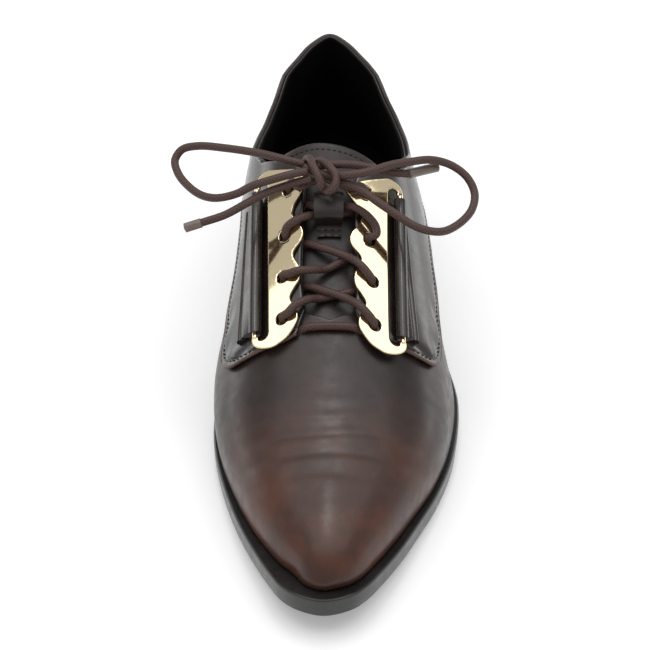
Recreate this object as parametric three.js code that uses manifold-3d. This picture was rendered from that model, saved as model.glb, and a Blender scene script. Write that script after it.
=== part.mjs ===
// A woman's pointed, open-laced flat shoe for the left foot: a hollow vamp, two quarters laid over it,
// metal lacing plates held by leather loops, a tongue with a lace keeper, and a stacked heel.
// Millimetres, +Z up, toe towards -Y, outer side of the foot towards +X.
// The origin lies on the floor under the middle of the heel.
import * as THREE from 'three'
import { mergeVertices } from 'three/addons/utils/BufferGeometryUtils.js'
import Module from 'manifold-3d'

// Driving dimensions
const LENGTH = 272 // sole, from heel to toe
const BALL_WIDTH = 91.5 // sole, across the ball
const HEEL_HEIGHT = 23 // seat of the foot over the floor
const SOLE_THICK = 8 // sole under the ball
const WAIST_THICK = 5 // sole at the waist and over the heel
const TOE_SPRING = 8 // lift of the sole's tip
const HEEL_LENGTH = 64 // heel block along the foot
const HEEL_TAPER = 1.8 // how far the block draws in towards the floor
const LIFT_THICK = 3 // top lift under the heel block
const WELT = 4 // sole showing beside the toe
const INSTEP_RISE = 80.5 // ridge of the instep over the sole's top, at the throat
const COLLAR_RISE = 57 // back of the collar over the sole's top
const WALL = 1.6 // vamp and lining together
const LEATHER = 1.2 // one layer of laid-on leather
const INSOLE_THICK = 2
const TONGUE_THICK = 2
const THROAT_HALF = 9.5 // half the gap between the facings, along the leather
const TONGUE_HALF = 30 // half the tongue's width at its top
const PLATE_THICK = 1.3
const HOLE_RADIUS = 2.3
const BAR_RADIUS = 0.9 // bar that the leather loop turns on
const SLOT = 4.1 // gap between a plate and the tips of its hooks
const HOOK = 2.3 // width of a hook
const KEEPER_WIDTH = 9.4
const LACE = 3 // lace diameter
const AGLET = 3.6 // lace tip diameter
const GAP = 0.3 // clearance between pieces that touch
const LAID = 0.6 // clearance under leather laid on a curve

const MEDIAL = -1
const LATERAL = 1
const SIDES = [MEDIAL, LATERAL]
const ORIGIN_S = HEEL_LENGTH / 2 // the origin's distance from the heel's back

// Sole outline: distance from the heel as a share of LENGTH, half-widths as shares of BALL_WIDTH
const OUTLINE = [
  { s: 0.007, medial: 0.098, lateral: 0.098 }, { s: 0.029, medial: 0.197, lateral: 0.197 },
  { s: 0.066, medial: 0.273, lateral: 0.279 }, { s: 0.118, medial: 0.322, lateral: 0.328 },
  { s: 0.176, medial: 0.333, lateral: 0.350 }, { s: 0.243, medial: 0.322, lateral: 0.355 },
  { s: 0.316, medial: 0.311, lateral: 0.366 }, { s: 0.390, medial: 0.322, lateral: 0.399 },
  { s: 0.456, medial: 0.361, lateral: 0.448 }, { s: 0.522, medial: 0.415, lateral: 0.497 },
  { s: 0.581, medial: 0.457, lateral: 0.527 }, { s: 0.625, medial: 0.474, lateral: 0.528 },
  { s: 0.676, medial: 0.472, lateral: 0.511 }, { s: 0.728, medial: 0.450, lateral: 0.479 },
  { s: 0.790, medial: 0.407, lateral: 0.417 }, { s: 0.849, medial: 0.353, lateral: 0.338 },
  { s: 0.901, medial: 0.293, lateral: 0.264 }, { s: 0.945, medial: 0.234, lateral: 0.190 },
  { s: 0.974, medial: 0.186, lateral: 0.134 }, { s: 0.993, medial: 0.126, lateral: 0.077 },
]
const HEEL_TIP = { s: -0.004, x: 0 }
const TOE_TIP = { s: 1.005, x: -0.028 }

// How far the upper stands in from the sole's edge, as shares of WELT
const WELT_ROWS = [
  { s: -0.004, medial: 0.35, lateral: 0.35 }, { s: 0.22, medial: 0.35, lateral: 0.35 },
  { s: 0.44, medial: 0.4, lateral: 0.4 }, { s: 0.625, medial: 0.3, lateral: 0.4 },
  { s: 0.7, medial: 0.33, lateral: 0.45 }, { s: 0.79, medial: 0.55, lateral: 0.55 },
  { s: 0.882, medial: 0.9, lateral: 0.8 }, { s: 0.9375, medial: 1.3, lateral: 0.9 },
  { s: 0.97, medial: 1.7, lateral: 0.95 }, { s: 1, medial: 1.25, lateral: 1.25 },
]

// The last: ridge height as a share of INSTEP_RISE, ridge line as a share of BALL_WIDTH,
// and how square the section is (2 is an ellipse)
const RIDGE = [
  { s: 0, rise: 1.19 }, { s: 0.221, rise: 1.14 }, { s: 0.331, rise: 1.03 }, { s: 0.386, rise: 0.975 },
  { s: 0.441, rise: 0.89 }, { s: 0.496, rise: 0.804 }, { s: 0.551, rise: 0.717 },
  { s: 0.607, rise: 0.634 }, { s: 0.662, rise: 0.547 }, { s: 0.717, rise: 0.46 },
  { s: 0.772, rise: 0.379 }, { s: 0.827, rise: 0.317 }, { s: 0.882, rise: 0.273 },
  { s: 0.9375, rise: 0.236 }, { s: 0.985, rise: 0.211 },
]
const MIDLINE = [
  { s: 0, x: 0.003 }, { s: 0.221, x: 0 }, { s: 0.368, x: -0.005 }, { s: 0.625, x: -0.004 },
  { s: 0.735, x: 0.002 }, { s: 0.827, x: -0.007 }, { s: 0.919, x: -0.02 }, { s: 0.985, x: -0.028 },
]
const SQUARENESS = [
  { s: 0, n: 3.2 }, { s: 0.221, n: 3 }, { s: 0.331, n: 2.7 }, { s: 0.386, n: 2.35 },
  { s: 0.441, n: 2.2 }, { s: 0.551, n: 2.1 }, { s: 0.662, n: 2.1 }, { s: 0.754, n: 2.15 },
  { s: 0.838, n: 2.35 },
]
// Fullness just over the sole, and halfway up the wall, as shares of BALL_WIDTH
const FEATHER_BULGE = [
  { s: 0, medial: 0.016, lateral: 0.016 }, { s: 0.221, medial: 0.017, lateral: 0.017 },
  { s: 0.404, medial: 0.016, lateral: 0.005 }, { s: 0.515, medial: 0.024, lateral: -0.013 },
  { s: 0.607, medial: 0.026, lateral: -0.011 }, { s: 0.699, medial: 0.02, lateral: 0.007 },
  { s: 0.79, medial: 0.017, lateral: 0.02 }, { s: 0.901, medial: 0.015, lateral: 0.017 },
  { s: 0.985, medial: 0.011, lateral: 0.011 },
]
const WALL_BULGE = [
  { s: 0, medial: -0.098, lateral: -0.098 }, { s: 0.044, medial: -0.122, lateral: -0.122 },
  { s: 0.11, medial: -0.1, lateral: -0.1 }, { s: 0.165, medial: -0.073, lateral: -0.073 },
  { s: 0.221, medial: -0.03, lateral: -0.036 }, { s: 0.276, medial: 0.021, lateral: -0.006 },
  { s: 0.331, medial: 0.065, lateral: 0.015 }, { s: 0.386, medial: 0.081, lateral: 0.038 },
  { s: 0.46, medial: 0.066, lateral: 0.033 }, { s: 0.551, medial: 0.024, lateral: 0.003 },
  { s: 0.625, medial: 0, lateral: -0.005 }, { s: 0.699, medial: 0, lateral: 0 },
]
const BULGE_HEIGHT = 0.19 // of INSTEP_RISE, where the feather bulge is fullest
const BULGE_SPREAD = 0.16 // of INSTEP_RISE
const BACK_CURVE = 0.02 // of BALL_WIDTH, how far the heel's back swells

// Collar height as a share of COLLAR_RISE, up to the collar's front corner
const COLLAR = [
  { s: 0, rise: 1 }, { s: 0.037, rise: 0.974 }, { s: 0.066, rise: 0.93 }, { s: 0.11, rise: 0.868 },
  { s: 0.165, rise: 0.781 }, { s: 0.221, rise: 0.781 }, { s: 0.276, rise: 0.842 },
  { s: 0.331, rise: 0.947 }, { s: 0.368, rise: 1.061 },
]
// Edge of the throat in front of the collar: girth below the ridge as a share of THROAT_HALF
const THROAT = [
  { s: 0.382, medial: 3.3, lateral: 3.8 }, { s: 0.401, medial: 2.4, lateral: 3.2 },
  { s: 0.419, medial: 1.45, lateral: 2.5 }, { s: 0.434, medial: 1.08, lateral: 1.5 },
  { s: 0.452, medial: 1, lateral: 1.04 }, { s: 0.625, medial: 0.95, lateral: 0.95 },
  { s: 0.638, medial: 0, lateral: 0 },
]
// Quarter: u runs from the back seam to the flap's front. The lower edge is given by its height
// (share of COLLAR_RISE) behind the flap and by its share of the girth around it.
const QUARTER_REAR = [
  { u: 0, k: -1, medial: 0.48, lateral: 0.48 }, { u: 0.12, k: -0.5, medial: 0.48, lateral: 0.48 },
  { u: 0.24, k: 0, medial: 0.5, lateral: 0.5 }, { u: 0.36, s: 0.221, medial: 0.55, lateral: 0.55 },
  { u: 0.5, s: 0.338, medial: 0.66, lateral: 0.66 }, { u: 0.58, s: 0.404, medial: 0.69, lateral: 0.7 },
  { u: 0.66, s: 0.474, medial: 0.62, lateral: 0.67 }, { u: 0.74, s: 0.54, medial: 0.5, lateral: 0.56 },
]
const QUARTER_FLAP = [
  { u: 0.8, s: 0.594, medial: 0.36, lateral: 0.375 }, { u: 0.84, s: 0.621, medial: 0.345, lateral: 0.37 },
  { u: 0.87, s: 0.64, medial: 0.37, lateral: 0.385 }, { u: 0.895, s: 0.652, medial: 0.43, lateral: 0.43 },
  { u: 0.93, s: 0.658, medial: 0.54, lateral: 0.53 }, { u: 0.96, s: 0.66, medial: 0.66, lateral: 0.65 },
  { u: 0.985, s: 0.66, medial: 0.76, lateral: 0.75 }, { u: 1, s: 0.655, medial: 0.83, lateral: 0.83 },
]
const QUARTER_TOP = [
  { u: 0, k: -1 }, { u: 0.12, k: -0.5 }, { u: 0.24, k: 0 }, { u: 0.36, s: 0.221 }, { u: 0.5, s: 0.32 },
  { u: 0.58, s: 0.368 }, { u: 0.62, s: 0.385 }, { u: 0.66, s: 0.41 }, { u: 0.7, s: 0.436 },
  { u: 0.76, s: 0.475 }, { u: 0.84, s: 0.55 }, { u: 0.93, s: 0.61 }, { u: 1, s: 0.624 },
]
const FLAP_LIFT = 0.35 // how far the flap's front edge stands off the vamp

// Lacing plate: a runs down the plate from its top, v from its straight edge towards the tongue
const PLATE_LENGTH = 71.5
const PLATE_TOP = { [MEDIAL]: 0.40625 * LENGTH, [LATERAL]: 0.41728 * LENGTH } // from the heel
const PLATE_SPREAD = { [MEDIAL]: 20.4, [LATERAL]: 19.9 } // its straight edge from the middle line
const PLATE_LEAN = 8.5 // second girth line that a plate lies on, from the middle line
const PLATE_SEAT = 0.8 // lift of a flat plate over the curved leather
const HOLES = [
  { a: 0.182, v: 9.2 }, { a: 0.415, v: 7.2 }, { a: 0.637, v: 5.9 }, { a: 0.86, v: 5.2 },
]
const SCALLOPS = [
  [0.165, 16.2], [0.205, 16.9], [0.24, 14.4], [0.275, 11.6], [0.315, 10.6], [0.36, 11.8], [0.4, 14],
  [0.44, 14.8], [0.475, 13.8], [0.505, 11.2], [0.53, 10.2], [0.56, 10.9], [0.6, 12.3], [0.645, 12.9],
  [0.685, 12.1], [0.72, 10], [0.757, 8.4], [0.795, 9.4], [0.84, 11], [0.885, 11.1], [0.93, 9],
  [0.965, 6.4], [0.99, 2.5],
]
// Slanting top edge of a plate: steps down from the plate's head and distance from its straight edge
const PLATE_HEAD = { [MEDIAL]: 1.6, [LATERAL]: 4.6 }
const CROWN = [[1.9, 4.5], [3.9, 9], [6, 13.2]]

// Smooth step from 0 at a to 1 at b
function smooth(a, b, x) {
  return THREE.MathUtils.smoothstep(x, a, b)
}

// Reads a column of a table at x, along a smooth curve through the rows
function lookUp(rows, key, column, x) {
  const last = rows.length - 1
  const at = THREE.MathUtils.clamp(x, rows[0][key], rows[last][key])
  let i = 0
  while (i < last - 1 && rows[i + 1][key] < at) i += 1
  const slope = (j) => {
    const a = rows[Math.max(j - 1, 0)]
    const b = rows[Math.min(j + 1, last)]
    return (b[column] - a[column]) / (b[key] - a[key])
  }
  const h = rows[i + 1][key] - rows[i][key]
  const t = (at - rows[i][key]) / h
  const rise = (3 - 2 * t) * t * t
  const ease = t * (1 - t) * (1 - t) * h * slope(i) - t * t * (1 - t) * h * slope(i + 1)
  return rows[i][column] * (1 - rise) + rows[i + 1][column] * rise + ease
}
const share = (rows, column, s) => lookUp(rows, 's', column, s / LENGTH)
const columnOf = (side) => (side === MEDIAL ? 'medial' : 'lateral')

// Heights along the shoe
const underside = (s) => (HEEL_HEIGHT - WAIST_THICK) * (1 - smooth(0.17 * LENGTH, 0.588 * LENGTH, s))
  + TOE_SPRING * (Math.max(s - 0.684 * LENGTH, 0) / (0.316 * LENGTH)) ** 2
const soleTop = (s) => underside(s) + WAIST_THICK
  + (SOLE_THICK - WAIST_THICK) * smooth(0.33 * LENGTH, 0.588 * LENGTH, s)
const feather = (s) => soleTop(s) + GAP
const ridgeRise = (s) => share(RIDGE, 'rise', s) * INSTEP_RISE
const midline = (s) => share(MIDLINE, 'x', s) * BALL_WIDTH

// Plan outline of the sole as { s, x }, medial side first, the same count on both sides
function soleOutline(steps) {
  const plan = (s, x) => new THREE.Vector3(s * LENGTH, x * BALL_WIDTH, 0)
  const control = [plan(HEEL_TIP.s, HEEL_TIP.x), ...OUTLINE.map((r) => plan(r.s, -r.medial)),
    plan(TOE_TIP.s, TOE_TIP.x), ...OUTLINE.map((r) => plan(r.s, r.lateral)).reverse()]
  const curve = new THREE.CatmullRomCurve3(control, true, 'centripetal')
  const count = control.length * steps
  return Array.from({ length: count }, (_, i) => {
    const p = curve.getPoint(i / count)
    return { s: p.x, x: p.y }
  })
}

// Moves an outline inwards by a distance that may differ from point to point
function insetOutline(points, distance) {
  const count = points.length
  return points.map((p, i) => {
    const a = points[(i + count - 1) % count]
    const b = points[(i + 1) % count]
    const length = Math.hypot(b.s - a.s, b.x - a.x)
    const d = distance(p)
    return { s: p.s - (b.x - a.x) / length * d, x: p.x + (b.s - a.s) / length * d }
  })
}
const weltAt = (p) => WELT * share(WELT_ROWS, p.x < TOE_TIP.x * BALL_WIDTH ? 'medial' : 'lateral', p.s)

const featherPlan = insetOutline(soleOutline(12), weltAt)

// Stations k of the last: a fan round the heel from -1 to 0, sections to 1, a fan round the toe to 2
const FAN_HEEL = 0.1176 * LENGTH
const FAN_TOE = 0.838 * LENGTH
const stationAt = (s) => (s - FAN_HEEL) / (FAN_TOE - FAN_HEEL)

function stationRay(k, side) {
  const turn = Math.PI / 2 * (k < 0 ? -k : Math.max(k - 1, 0))
  const s = k < 0 ? FAN_HEEL : Math.min(FAN_HEEL + (FAN_TOE - FAN_HEEL) * k, FAN_TOE)
  const x = midline(s)
  const ds = Math.sin(turn) * (k < 0 ? -1 : 1)
  const dx = side * Math.cos(turn)
  let reach = Infinity
  featherPlan.forEach((a, i) => {
    const b = featherPlan[(i + 1) % featherPlan.length]
    const es = b.s - a.s
    const ex = b.x - a.x
    const den = ds * ex - dx * es
    if (Math.abs(den) < 1e-9) return
    const r = ((a.s - s) * ex - (a.x - x) * es) / den
    const along = ((a.s - s) * dx - (a.x - x) * ds) / den
    if (r > 1 && along > -1e-9 && along < 1 + 1e-9) reach = Math.min(reach, r)
  })
  return { s, x, ds, dx, reach }
}

// One section of the last from the feather edge up to the ridge, with its girth so far
const SECTION_POINTS = 41
const sectionCache = new Map()
function section(k, side) {
  const name = `${k.toFixed(5)} ${side}`
  if (sectionCache.has(name)) return sectionCache.get(name)
  const ray = stationRay(k, side)
  const n = share(SQUARENESS, 'n', ray.s)
  const points = []
  for (let i = 0; i < SECTION_POINTS; i += 1) {
    const angle = Math.PI / 2 * i / (SECTION_POINTS - 1)
    const q = i === SECTION_POINTS - 1 ? 0 : Math.cos(angle) ** (2 / n)
    const h = Math.sin(angle) ** (2 / n)
    const s = ray.s + ray.ds * q * ray.reach
    const up = ridgeRise(s) * h
    const low = (up - BULGE_HEIGHT * INSTEP_RISE) / (BULGE_SPREAD * INSTEP_RISE)
    const own = (1 + Math.abs(ray.dx)) / 2
    const mixed = (rows) => THREE.MathUtils.lerp(share(rows, columnOf(-side), s), share(rows, columnOf(side), s), own)
    const bulge = mixed(FEATHER_BULGE) * Math.exp(-low * low) * (1 - Math.exp(-up / 4)) * (1 - h ** 6)
      + mixed(WALL_BULGE) * 4 * h * (1 - h)
    const out = q * ray.reach + bulge * BALL_WIDTH
    const rear = Math.max((FAN_HEEL - s) / FAN_HEEL, 0) ** 3
    const swell = Math.sin(Math.PI * Math.min(up / (0.5 * INSTEP_RISE), 1))
      + 0.5 * smooth(0.224 * INSTEP_RISE, 0.745 * INSTEP_RISE, up)
    points.push(new THREE.Vector3(ray.x + ray.dx * out,
      ORIGIN_S - (ray.s + ray.ds * out - rear * swell * BACK_CURVE * BALL_WIDTH), feather(s) + up))
  }
  const girth = [0]
  for (let i = 1; i < points.length; i += 1) girth.push(girth[i - 1] + points[i].distanceTo(points[i - 1]))
  const made = { points, girth, total: girth[girth.length - 1] }
  sectionCache.set(name, made)
  return made
}

// Point on the last at a share v of the girth, 0 at the feather edge and 1 at the ridge
function lastPoint(k, side, v) {
  const { points, girth, total } = section(k, side)
  const g = THREE.MathUtils.clamp(v, 0, 1) * total
  let i = 0
  while (i < girth.length - 2 && girth[i + 1] < g) i += 1
  return points[i].clone().lerp(points[i + 1], (g - girth[i]) / (girth[i + 1] - girth[i]))
}
const shareAtRidge = (k, side, below) => 1 - below / section(k, side).total

// Share of the girth where a test on the section's points turns from false to true
function shareWhere(k, side, measure) {
  const { points, girth, total } = section(k, side)
  for (let i = 1; i < points.length; i += 1) {
    const b = measure(points[i])
    if (b < 0) continue
    const a = measure(points[i - 1])
    return (girth[i - 1] + (girth[i] - girth[i - 1]) * a / (a - b)) / total
  }
  return 1
}
const sOf = (p) => ORIGIN_S - p.y
const shareAtRise = (k, side, rise) => shareWhere(k, side, (p) => p.z - feather(sOf(p)) - rise(sOf(p)))
const shareAtSpread = (k, side, spread) => (
  shareWhere(k, side, (p) => spread - side * (p.x - midline(sOf(p)))))

// Point of the last at distance s from the heel, a signed girth t from the ridge (medial is
// negative), raised by off along the surface's normal
function onLast(s, t, off) {
  const at = (ds, dt) => {
    const side = t + dt < 0 ? MEDIAL : LATERAL
    const k = stationAt(s + ds)
    return lastPoint(k, side, shareAtRidge(k, side, Math.abs(t + dt)))
  }
  const along = at(1, 0).sub(at(-1, 0))
  const across = at(0, 1).sub(at(0, -1))
  return at(0, 0).addScaledVector(across.cross(along).normalize(), -off)
}

// Merges points that coincide and drops the triangles that shrink away
function weld(positions, triangles) {
  const seen = new Map()
  const points = []
  const place = positions.map((p) => {
    const name = [p.x, p.y, p.z].map((c) => Math.round(c * 500)).join()
    if (!seen.has(name)) {
      seen.set(name, points.length)
      points.push(p)
    }
    return seen.get(name)
  })
  const faces = triangles.map((t) => t.map((i) => place[i])).filter(([a, b, c]) => a !== b && b !== c && c !== a)
  return { points, faces, place }
}

function solid(points, faces) {
  const geometry = new THREE.BufferGeometry()
  geometry.setAttribute('position', new THREE.Float32BufferAttribute(points.flatMap((p) => p.toArray()), 3))
  geometry.setIndex(faces.flat())
  geometry.computeVertexNormals()
  return geometry
}

// A sheet of points in columns and rows, its faces turned outwards
function sheet(columns, outwards) {
  const rows = columns[0].length
  const faces = []
  for (let i = 0; i + 1 < columns.length; i += 1) {
    for (let j = 0; j + 1 < rows; j += 1) {
      const a = i * rows + j
      const quad = [[a, a + rows, a + rows + 1], [a, a + rows + 1, a + 1]]
      faces.push(...quad.map((f) => (outwards ? f : [...f].reverse())))
    }
  }
  return { positions: columns.flat(), faces }
}

// Gives an open surface its thickness: from low to high along its own normals
function thicken(positions, triangles, low, high) {
  const { points, faces, place } = weld(positions, triangles)
  const normals = solid(points, faces).getAttribute('normal')
  const normalOf = (i) => new THREE.Vector3().fromBufferAttribute(normals, i)
  const lift = new Array(points.length).fill(0)
  if (typeof high === 'object') place.forEach((p, i) => { lift[p] = high.lift[i] })
  const top = typeof high === 'object' ? high.base : high
  const count = points.length
  const outer = points.map((p, i) => p.clone().addScaledVector(normalOf(i), top + lift[i]))
  const inner = points.map((p, i) => p.clone().addScaledVector(normalOf(i), low + lift[i]))
  const edges = new Set(faces.flatMap(([a, b, c]) => [`${a} ${b}`, `${b} ${c}`, `${c} ${a}`]))
  const rim = []
  edges.forEach((edge) => {
    const [a, b] = edge.split(' ').map(Number)
    if (!edges.has(`${b} ${a}`)) rim.push([b, a, a + count], [b, a + count, b + count])
  })
  return solid([...outer, ...inner], [...faces, ...faces.map(([a, b, c]) => [c + count, b + count, a + count]), ...rim])
}

// Stacks loops of points into a closed body; each loop pairs point i with point count - i
function stack(loops, hollowFront = false) {
  const count = loops[0].length
  const faces = []
  for (let r = 0; r + 1 < loops.length; r += 1) {
    for (let i = 0; i < count; i += 1) {
      const a = r * count + i
      const b = r * count + (i + 1) % count
      faces.push([a, b, b + count], [a, b + count, a + count])
    }
  }
  const paired = Array.from({ length: count / 2 }, (_, i) => (
    [[i, i + 1, count - i - 1], [i, count - i - 1, (count - i) % count]])).flat()
    .filter(([a, b, c]) => a !== b && b !== c && a !== c)
  const cap = (base, up) => {
    const plan = loops[base / count].map((p) => new THREE.Vector2(p.x, p.y))
    const triangles = hollowFront ? THREE.ShapeUtils.triangulateShape(plan, []) : paired
    triangles.forEach((f) => {
      const [a, b, c] = f.map((i) => plan[i])
      const turn = b.clone().sub(a).cross(c.clone().sub(a))
      faces.push((turn > 0 === up ? f : [...f].reverse()).map((i) => base + i))
    })
  }
  cap(0, false)
  cap((loops.length - 1) * count, true)
  return solid(loops.flat(), faces)
}
const level = (plan, height) => plan.map((p) => new THREE.Vector3(p.x, ORIGIN_S - p.s, height(p.s)))

// Sweeps a section of points along stations, with flat ends
function sweep(sections, outline) {
  const count = sections[0].length
  const faces = []
  for (let r = 0; r + 1 < sections.length; r += 1) {
    for (let i = 0; i < count; i += 1) {
      const a = r * count + i
      const b = r * count + (i + 1) % count
      faces.push([a, b, b + count], [a, b + count, a + count])
    }
  }
  const ends = THREE.ShapeUtils.triangulateShape(outline.map(([x, y]) => new THREE.Vector2(x, y)), [])
  ends.forEach(([a, b, c]) => faces.push([c, b, a], ...[[a, b, c].map((i) => i + (sections.length - 1) * count)]))
  const made = solid(sections.flat(), faces)
  return volume(made) < 0 ? flipped(made) : made
}
function volume(geometry) {
  const position = geometry.getAttribute('position')
  const index = geometry.index.array
  let six = 0
  for (let i = 0; i < index.length; i += 3) {
    const [a, b, c] = [0, 1, 2].map((j) => new THREE.Vector3().fromBufferAttribute(position, index[i + j]))
    six += a.dot(b.cross(c))
  }
  return six / 6
}
function flipped(geometry) {
  const index = Array.from(geometry.index.array)
  for (let i = 0; i < index.length; i += 3) [index[i], index[i + 2]] = [index[i + 2], index[i]]
  geometry.setIndex(index)
  geometry.computeVertexNormals()
  return geometry
}

// Joins and cuts
const wasm = await Module()
wasm.setup()
function toManifold(geometry) {
  const bare = new THREE.BufferGeometry()
  bare.setAttribute('position', geometry.getAttribute('position').clone())
  if (geometry.index) bare.setIndex(geometry.index.clone())
  const merged = mergeVertices(bare, 1e-4)
  return new wasm.Manifold(new wasm.Mesh({
    numProp: 3,
    vertProperties: Float32Array.from(merged.getAttribute('position').array),
    triVerts: Uint32Array.from(merged.index.array),
  }))
}
function fromManifold(body) {
  const mesh = body.getMesh()
  const geometry = new THREE.BufferGeometry()
  geometry.setAttribute('position', new THREE.BufferAttribute(Float32Array.from(mesh.vertProperties), 3))
  geometry.setIndex(Array.from(mesh.triVerts))
  geometry.computeVertexNormals()
  return geometry
}
const join = (geometries) => fromManifold(geometries.map(toManifold).reduce((a, b) => a.add(b)))
const cut = (geometry, tool) => fromManifold(toManifold(geometry).subtract(toManifold(tool)))

// Round tube through points, as an extruded circle
function tube(points, radius, steps, sides = 8) {
  const path = new THREE.CatmullRomCurve3(points, false, 'centripetal')
  const circle = new THREE.Shape(Array.from({ length: sides }, (_, i) => (
    new THREE.Vector2(radius * Math.cos(2 * Math.PI * i / sides), radius * Math.sin(2 * Math.PI * i / sides)))))
  const made = new THREE.ExtrudeGeometry(circle, { steps, extrudePath: path, curveSegments: 1 })
  made.deleteAttribute('normal')
  made.deleteAttribute('uv')
  const closed = mergeVertices(made, 1e-4)
  return volume(closed) < 0 ? flipped(closed) : closed
}

// Top edge of the vamp's shell: the collar, then the throat, then the ridge
const throatFront = THROAT[THROAT.length - 1].s * LENGTH
const collarFront = COLLAR[COLLAR.length - 1].s * LENGTH
const CORNER_BLEND = 4 // over which the collar turns into the throat's edge
function topShare(k, side) {
  const s = FAN_HEEL + (FAN_TOE - FAN_HEEL) * k
  const collar = shareAtRise(k, side, (at) => share(COLLAR, 'rise', at) * COLLAR_RISE)
  if (s <= collarFront) return collar
  if (s >= throatFront) return 1
  const edge = shareAtRidge(k, side, share(THROAT, columnOf(side), s) * THROAT_HALF)
  return THREE.MathUtils.lerp(collar, edge, smooth(collarFront, collarFront + CORNER_BLEND, s))
}

function upperStations() {
  const fan = [0, 1, 2, 3, 4, 5].map((i) => i / 6)
  const spots = [0.15, 0.185, 0.22, 0.257, 0.294, 0.32, 0.345, 0.368, 0.382, 0.397, 0.412, 0.427,
    0.445, 0.47, 0.5, 0.53, 0.56, 0.59, 0.61, 0.625, 0.638, 0.665, 0.7, 0.735, 0.77, 0.805]
  return [...fan.map((f) => f - 1), 0, ...spots.map((s) => stationAt(s * LENGTH)), ...fan.map((f) => 1 + f), 2]
}
const UPPER_ROWS = 9
function upper() {
  const stations = upperStations()
  const halves = SIDES.map((side) => sheet(stations.map((k) => {
    const top = topShare(k, side)
    return Array.from({ length: UPPER_ROWS + 1 }, (_, j) => lastPoint(k, side, top * j / UPPER_ROWS))
  }), side === MEDIAL))
  const shift = halves[0].positions.length
  const faces = [...halves[0].faces, ...halves[1].faces.map((f) => f.map((i) => i + shift))]
  const shell = thicken([...halves[0].positions, ...halves[1].positions], faces, -WALL, 0)
  const position = shell.getAttribute('position')
  for (let i = 0; i < position.count; i += 1) {
    position.setZ(i, Math.max(position.getZ(i), feather(ORIGIN_S - position.getY(i))))
  }
  return shell
}

// Quarter edges as { k, v }
function quarterLow(u, side) {
  const column = columnOf(side)
  const front = QUARTER_FLAP[0].u
  const rearEnd = QUARTER_REAR[QUARTER_REAR.length - 1].u
  const flap = { k: stationAt(lookUp(QUARTER_FLAP, 'u', 's', u) * LENGTH), v: lookUp(QUARTER_FLAP, 'u', column, u) }
  if (u >= front) return flap
  const rows = QUARTER_REAR.map((r) => ({ u: r.u, k: r.k ?? stationAt(r.s * LENGTH), rise: r[column] }))
  rows.push({ u: front, k: flap.k, rise: rows[rows.length - 1].rise })
  const k = lookUp(rows, 'u', 'k', u)
  const v = shareAtRise(k, side, () => lookUp(rows, 'u', 'rise', u) * COLLAR_RISE)
  return { k, v: THREE.MathUtils.lerp(v, flap.v, smooth(rearEnd, front, u)) }
}
function quarterTop(u, side) {
  const rows = QUARTER_TOP.map((r) => ({ u: r.u, k: r.k ?? stationAt(r.s * LENGTH) }))
  const k = lookUp(rows, 'u', 'k', u)
  return { k, v: topShare(k, side) }
}
const QUARTER_COLUMNS = 28
const QUARTER_LINES = 7
function quarter(side) {
  const lift = []
  const columns = Array.from({ length: QUARTER_COLUMNS + 1 }, (_, i) => {
    const u = i / QUARTER_COLUMNS
    const low = quarterLow(u, side)
    const top = quarterTop(u, side)
    return Array.from({ length: QUARTER_LINES + 1 }, (__, j) => {
      const w = j / QUARTER_LINES
      lift.push(FLAP_LIFT * smooth(0.8, 0.88, u) * (1 - w) ** 2)
      return lastPoint(THREE.MathUtils.lerp(low.k, top.k, w), side, THREE.MathUtils.lerp(low.v, top.v, w))
    })
  })
  const { positions, faces } = sheet(columns, side === MEDIAL)
  return thicken(positions, faces, LAID, { base: LAID + LEATHER, lift })
}

// Tongue under the facings, its top edge slightly skewed
const TONGUE_TOP = 0.402 // of LENGTH
const TONGUE_END = 0.684
const tongueTop = (t) => TONGUE_TOP * LENGTH + 0.12 * t - 0.002 * t * t
const tongueHalf = (w) => TONGUE_HALF * (1 - 0.3 * w)
const UNDER_UPPER = -WALL - 3.4 * GAP
function tongue() {
  const across = 10
  const down = 8
  const columns = Array.from({ length: across + 1 }, (_, i) => (
    Array.from({ length: down + 1 }, (__, j) => {
      const w = j / down
      const t = tongueHalf(w) * (2 * i / across - 1)
      return onLast(THREE.MathUtils.lerp(tongueTop(t), TONGUE_END * LENGTH, w), t, UNDER_UPPER)
    })))
  const { positions, faces } = sheet(columns, false)
  return thicken(positions, faces, -TONGUE_THICK, 0)
}

// Strap on the tongue that the laces pass under: its lower line as distance from the heel and height
const KEEPER_LINE = [
  [0.462, 0], [0.4706, 0], [0.4757, 6.1], [0.501, 6.1], [0.51, 0], [0.522, 0],
]
function laceKeeper() {
  const foot = UNDER_UPPER + GAP
  const line = KEEPER_LINE.map(([s, up]) => [s * LENGTH, foot + up])
  const slant = [0, 0, -0.7, 0.7, 0, 0]
  const back = line.map(([s, off], i) => [s + slant[i], off + LEATHER]).reverse()
  const outline = [...line, ...back]
  const stations = [-0.5, -0.25, 0, 0.25, 0.5].map((w) => w * KEEPER_WIDTH)
  return sweep(stations.map((t) => outline.map(([s, off]) => onLast(s, t, off))), outline)
}

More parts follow.
